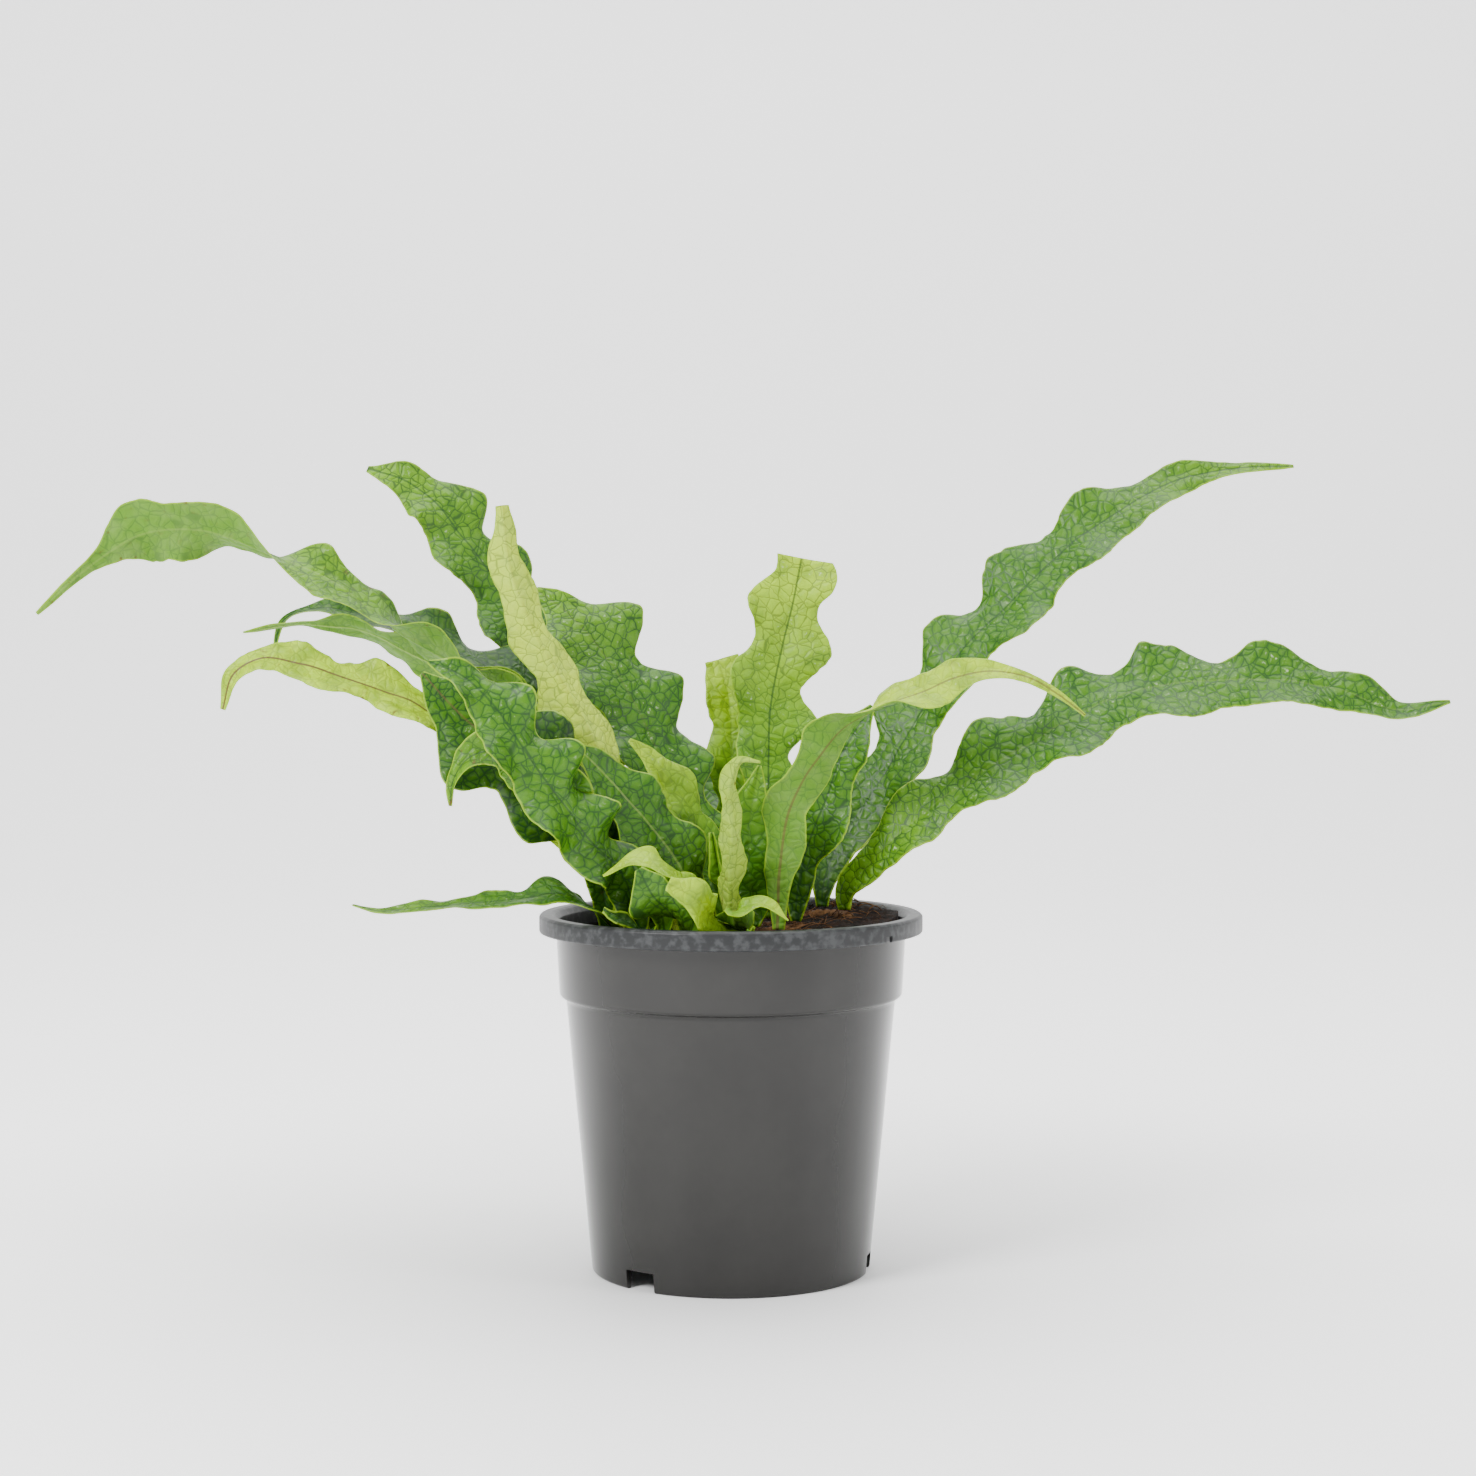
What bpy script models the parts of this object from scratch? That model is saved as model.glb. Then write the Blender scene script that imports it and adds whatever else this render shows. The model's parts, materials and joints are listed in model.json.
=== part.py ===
"""Potted fern: a strap-leaved fern with wavy fronds, growing in a plastic nursery pot.

Metres, +Z up. The origin is the middle of the pot's foot, on the surface that it stands on, and
-Y is the front. Every frond is one thin closed blade that grows from the creeping rhizome.
"""
import math
from collections import namedtuple

import bpy
import numpy as np

CM = 0.01
MM = 0.001

# ---- driving dimensions -------------------------------------------------------------------
GAP = 0.4 * MM                # clearance between neighbours that touch
POT_HEIGHT = 177 * MM
RIM_RADIUS = 95 * MM
LIP_HEIGHT = 9 * MM
WALL = 1.6 * MM
BAND_TOP_RADIUS = 87 * MM     # outer radius of the upper band, under the rim
BAND_FOOT_RADIUS = 85 * MM
STEP_HEIGHT = 137 * MM        # height of the step between the band and the tapered wall
BODY_TOP_RADIUS = 81.6 * MM
FOOT_RADIUS = 69 * MM
FLOOR_HEIGHT = 10 * MM        # underside of the raised floor
PAD_RADIUS = 22 * MM          # middle of the floor, which stands on the ground
FOOT_NOTCHES = 3
NOTCH_WIDTH = 17 * MM
NOTCH_BEARING = -39.0         # degrees from the front, to the right
LIP_NOTCH_BEARING = 52.7
DRAIN_HOLES = 8
DRAIN_RADIUS = 4.5 * MM
DRAIN_CIRCLE = 47 * MM
POT_SIDES = 56
SOIL_SIDES = 40
RHIZOME_RADIUS = 5 * MM
RHIZOME_DEPTH = 3 * MM        # how far its middle lies under the soil surface
BLADE = 0.8 * MM              # thickness of a frond
STALK = 1.6 * MM              # how much thicker it is at its base
LOBE_DEPTH = 0.26             # how much a lobe widens its half of the blade

# The creeping stem, centimetres, (x, y) seen from above: a back row, a middle row, a front row.
RHIZOME_ROUTE = (
    (5.9, -1.6), (5.2, 1.2), (3.2, 2.8), (0.4, 3.6), (-2.4, 3.5), (-4.7, 2.2), (-4.7, 0.1),
    (-2.6, -0.7), (0.0, -0.9), (2.4, -1.0), (3.4, -2.6), (1.6, -4.0), (-0.8, -4.6), (-3.4, -4.5),
    (-5.2, -3.7), (-6.1, -2.3),
)

Frond = namedtuple("Frond", "name root path widths faces cup ruffle left right rows tint")
# root: where the stalk leaves the rhizome, (x, y). path: the midrib's points after it.
# widths: half-widths from base to tip. faces: directions that the upper side looks in, from base
# to tip. cup: degrees that each half rises from flat, base and tip. ruffle: how far the margin
# waves out of the blade. left, right: where the lobes stand, as distances along the midrib,
# seen with the tip up. Lengths are centimetres.
YOUNG = (0.50, 0.66, 0.07)
LEAF = (0.09, 0.34, 0.02)
DARK = (0.04, 0.20, 0.02)
PALE = (0.30, 0.48, 0.16)

FRONDS = (
    Frond("frond_left_long_arching", (-4.8, 0.7),
          ((-6.4, 0.2, 21.5), (-9.5, 0.2, 26.0), (-13.0, 0.2, 29.4), (-16.6, 0.2, 31.8),
           (-20.0, 0.1, 34.2), (-23.0, 0.0, 35.5), (-26.1, -0.3, 36.6), (-29.0, -0.5, 36.4),
           (-31.5, -0.5, 34.9), (-34.2, -0.5, 32.5)),
          (0.25, 0.8, 1.2, 1.6, 1.7, 1.7, 1.6, 1.1, 1.9, 0.5, 0.1),
          ((-0.3, -0.5, 0.8), (0.1, 0.2, 0.9), (0.2, 0.6, 0.8), (0.2, 0.6, 0.8), (0.2, 0.5, 0.8),
           (0.4, 0.1, 0.9), (0.6, -0.7, 0.5), (0.0, 0.3, 0.9), (-0.1, 0.85, 0.4),
           (-0.3, 0.85, 0.4), (-0.3, 0.8, 0.5)),
          (8, 8), 0.45, (14.0, 18.5, 24.0, 29.5, 34.5), (11.0, 16.5, 21.5, 25.5, 30.0, 34.0),
          34, LEAF),
    Frond("frond_left_pale_underside", (-4.9, 1.9),
          ((-6.0, 2.2, 20.5), (-8.8, 2.4, 25.2), (-12.6, 2.6, 28.8), (-16.1, 3.0, 30.5),
           (-18.8, 2.9, 31.7), (-21.6, 2.6, 32.0), (-24.6, 2.6, 31.6)),
          (0.25, 0.9, 1.5, 1.8, 1.7, 0.8, 0.1),
          ((-0.3, -0.3, 0.9), (0.1, 0.5, 0.8), (0.0, 0.5, 0.85), (0.0, 0.3, 0.95)),
          (10, 5), 0.35, (9.0, 14.0, 19.0, 23.0), (11.5, 16.5, 21.0), 24, PALE),
    Frond("frond_left_back_hooked", (-3.7, 3.1),
          ((-5.2, 4.4, 22.0), (-9.0, 4.8, 27.3), (-13.5, 4.9, 30.3), (-18.0, 4.8, 32.2),
           (-21.2, 4.8, 32.8), (-22.9, 4.8, 32.2), (-23.4, 4.8, 30.7)),
          (0.25, 0.9, 1.5, 1.8, 1.6, 0.9, 0.1),
          ((-0.3, -0.6, 0.6), (0.2, -0.5, 0.8), (0.0, -0.5, 0.85), (-0.5, -0.4, 0.6)),
          (5, 15), 0.45, (9.0, 13.5, 18.0, 22.5), (11.0, 16.0, 20.5), 24, DARK),
    Frond("frond_left_yellow", (-4.4, -0.3),
          ((-6.2, -1.2, 20.0), (-8.2, -1.4, 21.8), (-10.3, -1.5, 24.2), (-13.0, -1.5, 26.6),
           (-16.0, -1.4, 28.3), (-18.8, -1.4, 29.3), (-21.0, -1.4, 30.0), (-23.0, -1.4, 30.3),
           (-24.3, -1.4, 29.6), (-24.9, -1.4, 27.8)),
          (0.25, 0.6, 0.9, 1.2, 1.4, 1.3, 1.1, 0.7, 0.15),
          ((-0.3, 0.6, 0.8), (-0.3, 0.7, 0.6), (0.1, -0.4, 0.8), (0.1, -0.8, 0.6),
           (-0.4, -0.9, 0.2)),
          (8, 10), 0.3, (12.0, 16.5, 21.0), (10.0, 14.5, 19.0, 23.0), 28, YOUNG),
    Frond("frond_left_broad_dark", (-3.7, -0.35),
          ((-4.9, -1.7, 19.8), (-7.3, -2.7, 22.8), (-10.0, -3.5, 25.2), (-12.6, -3.6, 27.2),
           (-14.9, -3.5, 29.6)),
          (0.25, 1.1, 2.1, 2.6, 2.3, 0.15),
          ((-0.3, -0.8, 0.5), (0.1, -0.9, 0.4), (0.2, -0.9, 0.3)),
          (4, 4), 0.35, (5.0, 9.5, 14.0), (7.0, 11.5), 20, DARK),
    Frond("frond_left_small_hooked", (-6.0, -2.4),
          ((-6.6, -3.3, 20.4), (-7.9, -5.1, 22.8), (-9.3, -5.4, 24.9), (-11.0, -5.5, 25.9),
           (-12.4, -5.5, 25.6), (-13.2, -5.5, 24.4), (-13.3, -5.5, 23.3)),
          (0.25, 0.7, 1.2, 1.5, 1.4, 0.8, 0.1),
          ((-0.3, -0.6, 0.7), (0.0, -0.7, 0.7), (-0.2, -0.8, 0.5), (-0.6, -0.8, 0.2)),
          (15, 25), 0.25, (6.0, 10.5), (4.0, 8.5, 12.5), 20, LEAF),
    Frond("frond_left_ruffled", (-4.5, -4.1),
          ((-5.3, -5.1, 20.2), (-6.8, -6.2, 21.9), (-8.0, -6.9, 23.7), (-9.4, -7.3, 25.6),
           (-11.0, -7.3, 28.0), (-12.4, -7.1, 29.4), (-14.2, -6.9, 30.2)),
          (0.25, 1.1, 1.6, 1.8, 1.6, 1.3, 0.1),
          ((-0.3, -0.8, 0.4), (0.4, -0.8, 0.3), (0.2, -0.8, 0.5), (0.1, -0.7, 0.6)),
          (5, 5), 0.9, (5.0, 8.5, 12.5), (3.5, 7.0, 10.5, 14.0), 26, LEAF),
    Frond("frond_back_left_tall", (-2.7, 3.5),
          ((-4.3, 5.8, 20.5), (-6.8, 7.1, 24.4), (-8.9, 7.8, 28.2), (-11.6, 8.2, 33.1),
           (-14.0, 8.1, 36.5), (-15.8, 8.3, 38.7), (-17.2, 8.4, 39.6), (-19.1, 8.5, 40.2)),
          (0.25, 1.1, 1.7, 2.0, 2.2, 1.9, 1.8, 0.2),
          ((0.0, -1.0, 0.2), (0.5, -0.8, 0.3), (0.4, -0.8, 0.4), (0.3, -0.9, 0.4)),
          (4, 4), 0.45, (9.0, 14.8, 19.2, 23.6, 26.8), (12.0, 17.0, 21.8, 25.6), 30, LEAF),
    Frond("frond_centre_young_pale", (-2.5, -0.7),
          ((-4.0, -0.8, 20.5), (-5.3, -1.1, 23.2), (-6.5, -1.3, 25.8), (-8.4, -1.3, 29.4),
           (-9.9, -1.2, 32.2), (-10.8, -1.2, 34.8), (-11.2, -1.2, 37.8)),
          (0.25, 0.75, 1.2, 1.5, 1.5, 1.2, 1.1, 0.4),
          ((-0.2, 0.9, -0.2), (-0.4, 0.9, -0.2), (-0.2, 1.0, 0.0)),
          (30, 34), 0.1, (7.0, 11.0, 15.0), (9.0, 13.0, 17.0), 22, PALE),
    Frond("frond_centre_broad", (-1.4, 3.6),
          ((-1.7, 2.6, 20.2), (-2.6, 2.6, 23.0), (-3.8, 3.0, 25.8), (-5.3, 3.5, 28.6),
           (-6.9, 4.0, 31.0), (-8.3, 4.3, 32.5), (-10.0, 4.6, 33.8)),
          (0.25, 1.3, 2.0, 2.4, 2.6, 2.4, 0.2),
          ((0.2, -1.0, 0.2), (0.6, -0.8, 0.3), (0.5, -0.8, 0.4)),
          (4, 4), 0.4, (6.0, 10.0, 14.0, 17.5), (5.0, 8.5, 12.5, 16.5), 26, LEAF),
    Frond("frond_back_short", (0.5, 3.6),
          ((0.3, 4.8, 21.0), (0.0, 5.2, 25.2), (-0.1, 5.6, 28.0), (-0.7, 6.0, 30.2)),
          (0.25, 0.8, 1.1, 1.2, 0.9),
          ((0.0, -1.0, 0.2), (0.1, -1.0, 0.3)),
          (5, 15), 0.2, (5.0, 8.5, 12.0), (3.5, 7.0, 10.5), 16, YOUNG),
    Frond("frond_centre_tall", (2.0, 3.2),
          ((1.9, 3.4, 21.5), (1.9, 3.6, 24.6), (2.0, 3.9, 27.8), (2.6, 4.2, 30.8),
           (3.2, 4.5, 33.3), (3.6, 4.8, 35.4)),
          (0.3, 0.9, 1.1, 1.5, 1.9, 2.0, 1.9, 1.5),
          ((0.0, -1.0, 0.1), (0.2, -1.0, 0.2), (0.1, -1.0, 0.3)),
          (6, 8), 0.35, (8.0, 12.0, 16.0), (6.5, 10.0, 14.0, 18.0), 22, YOUNG),
    Frond("frond_front_young_folded", (0.0, -4.4),
          ((0.0, -5.4, 20.0), (0.1, -5.8, 22.2), (0.0, -5.8, 24.4), (0.5, -6.0, 25.4),
           (1.4, -6.2, 25.4)),
          (0.25, 0.8, 0.9, 0.8, 0.6, 0.1),
          ((0.1, 1.0, 0.0), (0.0, 1.0, 0.2), (-0.4, 0.9, 0.6)),
          (50, 50), 0.08, (4.0, 7.0), (2.5, 5.5), 16, PALE),
    Frond("frond_front_short_broad", (1.2, -0.9),
          ((0.9, -1.9, 20.0), (0.95, -2.2, 22.5), (1.4, -2.3, 25.1)),
          (0.25, 1.0, 1.1, 0.9, 0.1),
          ((0.0, -1.0, 0.2), (0.1, -1.0, 0.3)),
          (8, 8), 0.12, (3.0, 6.5), (4.5, 8.0), 12, LEAF),
    Frond("frond_right_arching_twisted", (2.3, -3.6),
          ((2.4, -4.2, 20.5), (2.8, -4.4, 23.0), (3.9, -4.6, 25.2), (5.6, -4.8, 27.2),
           (7.2, -5.0, 28.0), (8.9, -5.0, 28.6), (10.7, -5.0, 29.4), (12.4, -5.0, 29.7),
           (14.2, -5.0, 29.4), (15.6, -5.0, 28.6), (16.9, -5.0, 27.6)),
          (0.25, 0.8, 1.1, 1.1, 1.5, 1.6, 0.7, 0.35, 0.1),
          ((0.3, 0.9, 0.1), (0.2, 0.9, 0.2), (-0.1, 0.9, 0.5), (-0.3, 0.3, 0.9),
           (0.0, -0.7, 0.7), (0.0, -0.7, 0.7), (0.2, -0.7, 0.7)),
          (12, 5), 0.25, (4.0, 8.0, 13.0), (6.0, 10.0, 14.5), 30, YOUNG),
    Frond("frond_right_upright", (3.2, -1.7),
          ((3.6, -2.2, 20.6), (4.6, -2.4, 23.4), (5.6, -2.4, 26.0), (6.9, -2.4, 28.0)),
          (0.25, 1.0, 1.4, 1.3, 0.15),
          ((-0.1, -1.0, 0.2), (-0.3, -0.9, 0.3)),
          (6, 6), 0.25, (3.5, 7.5, 11.0), (5.0, 9.5), 14, DARK),
    Frond("frond_right_long_upper", (4.6, 2.0),
          ((5.2, 2.7, 20.4), (7.0, 3.1, 23.2), (8.8, 3.5, 26.1), (11.1, 4.0, 29.8),
           (14.1, 4.5, 33.0), (16.9, 5.0, 35.7), (20.0, 5.5, 37.9), (23.2, 6.0, 39.5),
           (26.3, 6.3, 40.1), (29.1, 6.5, 40.2)),
          (0.3, 1.3, 1.8, 2.0, 2.2, 2.0, 1.6, 0.7, 0.1),
          ((-0.2, -1.0, 0.1), (-0.5, -0.7, 0.5), (-0.4, -0.75, 0.5), (-0.3, -0.7, 0.6)),
          (5, 5), 0.45, (10.8, 15.3, 20.0, 25.3, 30.8), (8.5, 13.2, 18.0, 23.7, 28.4), 34, LEAF),
    Frond("frond_right_long_lower", (5.6, -0.6),
          ((6.9, -1.2, 20.3), (9.3, -1.5, 22.6), (12.5, -1.8, 24.9), (16.0, -2.0, 27.0),
           (19.1, -2.0, 28.5), (23.1, -2.0, 29.2), (27.4, -2.0, 29.2), (30.0, -2.0, 28.7),
           (32.4, -2.0, 27.8), (35.1, -2.0, 28.2)),
          (0.3, 1.3, 1.8, 2.2, 2.2, 2.1, 1.8, 1.1, 0.1),
          ((-0.4, -0.8, 0.4), (-0.4, -0.75, 0.6), (-0.1, -0.7, 0.7), (0.0, -0.7, 0.7)),
          (5, 5), 0.45, (6.2, 11.0, 16.2, 19.8, 25.6, 30.2),
          (5.2, 10.2, 14.8, 20.4, 27.0, 31.6), 34, LEAF),
    Frond("frond_left_low_narrow", (-5.6, -3.1),
          ((-6.7, -4.4, 18.3), (-8.0, -5.1, 19.0), (-9.4, -5.5, 19.0), (-11.6, -5.6, 18.7),
           (-14.6, -5.6, 18.5), (-16.8, -5.6, 18.3), (-18.0, -5.6, 18.6)),
          (0.25, 0.8, 1.3, 1.0, 0.7, 0.6, 0.5, 0.1),
          ((-0.2, -0.3, 0.9), (0.1, -0.35, 0.9), (0.0, -0.25, 1.0)),
          (6, 6), 0.15, (3.0, 6.5, 10.0), (5.0, 8.5, 12.0), 20, LEAF),
    Frond("frond_front_grey_broad", (-2.1, -4.8),
          ((-2.7, -6.7, 18.2), (-3.6, -7.6, 19.2), (-4.3, -7.9, 20.5)),
          (0.25, 0.8, 1.4, 1.2, 0.2),
          ((-0.4, -0.8, 0.4), (-0.5, -0.8, -0.1), (0.2, -0.9, 0.1)),
          (6, 6), 0.1, (2.0, 4.5), (3.0, 5.5), 10, PALE),
    Frond("frond_front_arching", (-1.6, -4.7),
          ((-1.9, -5.7, 19.2), (-3.0, -6.4, 20.3), (-4.6, -6.8, 20.8), (-6.0, -7.0, 20.1)),
          (0.25, 0.6, 0.8, 0.7, 0.1),
          ((-0.4, -0.7, 0.6), (0.1, -0.5, 0.9), (-0.2, -0.5, 0.9)),
          (10, 10), 0.12, (2.0, 4.5), (3.0, 6.0), 12, YOUNG),
    Frond("frond_front_bright_blunt", (-0.6, -4.6),
          ((-0.9, -7.1, 18.2), (-1.6, -8.2, 19.1), (-2.9, -8.6, 19.9)),
          (0.25, 0.9, 1.1, 0.9, 0.4),
          ((-0.2, -0.8, 0.6), (0.3, -0.9, 0.4), (0.4, -0.9, 0.2)),
          (8, 8), 0.1, (2.0, 4.5), (3.0, 5.5), 12, YOUNG),
    Frond("frond_front_rim_leaf", (0.8, -4.3),
          ((0.2, -6.6, 17.7), (0.4, -7.5, 18.6), (1.5, -7.9, 18.9), (2.7, -8.1, 18.1)),
          (0.25, 0.6, 0.8, 0.6, 0.1),
          ((-0.2, -0.6, 0.8), (0.2, -0.6, 0.8), (0.6, -0.4, 0.7)),
          (8, 8), 0.08, (2.0, 4.0), (3.0, 5.0), 12, YOUNG),
    Frond("frond_front_tiny", (-3.85, -4.4),
          ((-4.2, -6.2, 17.4), (-5.2, -6.8, 18.0), (-6.0, -7.0, 18.5)),
          (0.2, 0.3, 0.4, 0.4, 0.25),
          ((-0.2, -0.5, 0.9), (-0.2, -0.6, 0.8)),
          (5, 5), 0.02, (2.0, 4.0), (1.5, 3.5), 8, DARK),
    Frond("frond_front_small_upright", (-3.2, -4.5),
          ((-3.5, -4.9, 19.2), (-3.8, -5.0, 21.0)),
          (0.2, 0.6, 0.7, 0.3),
          ((0.1, -1.0, 0.2), (0.1, -1.0, 0.3)),
          (8, 8), 0.06, (2.0, 4.0), (1.5, 3.5), 8, LEAF),
    Frond("frond_centre_left_mid", (-1.9, -0.7),
          ((-2.4, -2.4, 20.0), (-3.4, -2.9, 21.6), (-4.7, -3.4, 23.1), (-6.1, -3.9, 24.8),
           (-7.5, -4.5, 26.2)),
          (0.25, 1.0, 1.5, 1.7, 1.3, 0.15),
          ((0.0, -1.0, 0.3), (0.2, -0.9, 0.4), (0.3, -0.8, 0.5)),
          (5, 5), 0.3, (3.5, 7.0, 10.0), (5.0, 8.5), 18, LEAF),
    Frond("frond_centre_yellow_tip", (-0.4, -0.9),
          ((-0.9, -0.7, 20.0), (-1.7, -0.7, 22.0), (-2.8, -0.8, 24.0), (-3.9, -0.9, 25.4),
           (-5.0, -1.0, 26.3)),
          (0.25, 0.6, 1.0, 1.1, 0.8, 0.1),
          ((0.3, -0.9, 0.2), (0.6, -0.8, 0.3), (0.3, -0.9, 0.4)),
          (8, 5), 0.2, (3.0, 6.5, 9.5), (4.5, 8.0), 14, LEAF),
    Frond("frond_front_thin_folded", (0.4, -0.9),
          ((-0.4, -2.6, 19.2), (-0.9, -3.0, 21.9)),
          (0.2, 0.4, 0.4, 0.15),
          ((-0.5, -0.9, 0.0), (-0.5, -0.9, 0.0)),
          (35, 35), 0.03, (2.0, 4.0), (1.5, 3.5), 8, LEAF),
    Frond("frond_rear_left", (-0.2, 3.6),
          ((-1.2, 6.4, 20.3), (-2.6, 9.4, 24.2), (-4.0, 12.3, 26.4), (-5.2, 15.0, 27.0)),
          (0.25, 0.7, 1.5, 1.8, 1.5, 0.9, 0.1),
          ((0.1, 0.4, 1.0), (0.1, -0.3, 1.0), (0.0, 0.2, 1.0)),
          (6, 6), 0.4, (5.0, 9.0, 13.0), (3.5, 7.0, 11.0), 18, LEAF),
    Frond("frond_rear_right", (3.4, 2.7),
          ((4.2, 6.0, 20.4), (5.2, 9.0, 23.2), (6.2, 12.0, 24.2), (6.8, 14.5, 23.4)),
          (0.25, 1.2, 1.6, 1.3, 0.8, 0.1),
          ((-0.1, 0.3, 1.0), (-0.1, 0.0, 1.0), (0.0, 0.5, 1.0)),
          (6, 6), 0.35, (5.0, 8.5, 12.0), (3.5, 7.0, 10.5), 18, LEAF),
)


# ---- shared helpers -----------------------------------------------------------------------
def clear_scene():
    for thing in list(bpy.data.objects):
        bpy.data.objects.remove(thing, do_unlink=True)


def finish(name, colour, roughness):
    """A plain material: base colour and roughness, never metallic."""
    material = bpy.data.materials.new(name)
    material.use_nodes = True
    shader = material.node_tree.nodes["Principled BSDF"]
    shader.inputs["Base Color"].default_value = (*colour, 1.0)
    shader.inputs["Roughness"].default_value = roughness
    shader.inputs["Metallic"].default_value = 0.0
    material.diffuse_color = (*colour, 1.0)
    return material


def add_mesh(name, points, faces, material=None):
    mesh = bpy.data.meshes.new(name)
    mesh.from_pydata([tuple(p) for p in points], [], [tuple(f) for f in faces])
    mesh.shade_smooth()
    mesh.set_sharp_from_angle(angle=math.radians(40))
    if material:
        mesh.materials.append(material)
    piece = bpy.data.objects.new(name, mesh)
    bpy.context.scene.collection.objects.link(piece)
    return piece


def cut(piece, cutter):
    cutter.hide_render = True
    cutter.display_type = "WIRE"
    modifier = piece.modifiers.new("cut", "BOOLEAN")
    modifier.operation = "DIFFERENCE"
    modifier.solver = "EXACT"
    modifier.object = cutter


def smooth_path(points, count):
    """A smooth curve through the points, read at count places an equal length apart.

    Between two points it is a cubic whose ends take the slope of their neighbours.
    """
    points = np.array(points, float)
    knots = np.concatenate([[0.0], np.cumsum(np.linalg.norm(np.diff(points, axis=0), axis=1))])
    slopes = np.gradient(points, knots, axis=0)
    at = np.linspace(0.0, knots[-1], 40 * len(points))
    k = np.clip(np.searchsorted(knots, at, side="right") - 1, 0, len(knots) - 2)
    span = (knots[k + 1] - knots[k])[:, None]
    t = (at - knots[k])[:, None] / span
    curve = ((2 * t**3 - 3 * t**2 + 1) * points[k] + (t**3 - 2 * t**2 + t) * span * slopes[k]
             + (3 * t**2 - 2 * t**3) * points[k + 1] + (t**3 - t**2) * span * slopes[k + 1])
    run = np.concatenate([[0.0], np.cumsum(np.linalg.norm(np.diff(curve, axis=0), axis=1))])
    even = np.linspace(0.0, run[-1], count)
    return np.stack([np.interp(even, run, curve[:, c]) for c in range(curve.shape[1])], axis=1)


def unit(vectors):
    return vectors / np.linalg.norm(vectors, axis=-1, keepdims=True)


def grid_faces(rows, columns, first=0, turned=False):
    """Triangles of a grid whose points run row by row, each quad split along one diagonal."""
    i, j = np.meshgrid(np.arange(rows - 1), np.arange(columns - 1), indexing="ij")
    a = (i * columns + j + first).ravel()
    outer = np.stack([a, a + columns, a + columns + 1], axis=1)
    inner = np.stack([a, a + columns + 1, a + 1], axis=1)
    triangles = np.concatenate([outer, inner])
    return (triangles[:, ::-1] if turned else triangles).tolist()


# ---- pot ----------------------------------------------------------------------------------
def pot_profile():
    """(radius, height) from the middle of the underside, out, up the wall, over the rim and in."""
    top = POT_HEIGHT
    lip = top - LIP_HEIGHT
    inner_foot = FOOT_RADIUS - WALL
    return [
        (PAD_RADIUS, 0.0),
        (PAD_RADIUS + 4 * MM, FLOOR_HEIGHT),
        (FOOT_RADIUS - 2.6 * MM, FLOOR_HEIGHT),
        (FOOT_RADIUS - 2.8 * MM, 0.0),
        (FOOT_RADIUS - 0.6 * MM, 0.0),
        (FOOT_RADIUS, 0.8 * MM),
        (BODY_TOP_RADIUS, STEP_HEIGHT - 3 * MM),
        (BODY_TOP_RADIUS + 0.6 * MM, STEP_HEIGHT - 1.4 * MM),
        (BAND_FOOT_RADIUS - 0.6 * MM, STEP_HEIGHT - 0.6 * MM),
        (BAND_FOOT_RADIUS, STEP_HEIGHT + 0.6 * MM),
        (BAND_TOP_RADIUS, top - 2.0 * MM),
        (RIM_RADIUS - WALL - 0.2 * MM, top - 2.0 * MM),
        (RIM_RADIUS - WALL, lip),
        (RIM_RADIUS - 0.5 * MM, lip),
        (RIM_RADIUS, lip + 0.6 * MM),
        (RIM_RADIUS, top - 1.2 * MM),
        (RIM_RADIUS - 1.2 * MM, top),
        (BAND_TOP_RADIUS + 2.0 * MM, top),
        (BAND_TOP_RADIUS + 0.4 * MM, top - 0.8 * MM),
        (BAND_TOP_RADIUS - WALL, top - 3.4 * MM),
        (BAND_FOOT_RADIUS - WALL, STEP_HEIGHT + 1.6 * MM),
        (BODY_TOP_RADIUS - WALL, STEP_HEIGHT - 2.2 * MM),
        (inner_foot, FLOOR_HEIGHT + 2.0 * MM),
        (PAD_RADIUS + 3 * MM, FLOOR_HEIGHT + 2.0 * MM),
        (PAD_RADIUS - 1 * MM, 2.0 * MM),
    ]


def turned(profile, sides, low_pole, high_pole):
    """Points and faces of a profile turned about Z, closed at both ends by a point on the axis."""
    angle = np.arange(sides) * 2 * math.pi / sides
    rings = np.array(profile)
    points = np.stack([rings[:, :1] * np.sin(angle), -rings[:, :1] * np.cos(angle),
                       np.repeat(rings[:, 1:], sides, axis=1)], axis=-1).reshape(-1, 3).tolist()
    faces = []
    for r in range(len(rings) - 1):
        for s in range(sides):
            n = (s + 1) % sides
            faces.append((r * sides + s, r * sides + n, (r + 1) * sides + n, (r + 1) * sides + s))
    low = len(points)
    points += [(0.0, 0.0, low_pole), (0.0, 0.0, high_pole)]
    last = (len(rings) - 1) * sides
    for s in range(sides):
        n = (s + 1) % sides
        faces.append((low, n, s))
        faces.append((low + 1, last + s, last + n))
    return points, faces


def box_solid(width, depth, low, high, bearing, radius):
    """A box across a bearing from the front (degrees, to the right), at a distance out."""
    a = math.radians(bearing)
    out = np.array([math.sin(a), -math.cos(a), 0.0])
    side = np.array([math.cos(a), math.sin(a), 0.0])
    points = []
    for z in (low, high):
        for u, v in ((-1, -1), (1, -1), (1, 1), (-1, 1)):
            points.append(out * (radius + v * depth / 2) + side * u * width / 2
                          + np.array([0, 0, z]))
    faces = [(0, 1, 2, 3), (7, 6, 5, 4), (1, 0, 4, 5), (2, 1, 5, 6), (3, 2, 6, 7), (0, 3, 7, 4)]
    return points, faces


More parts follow.
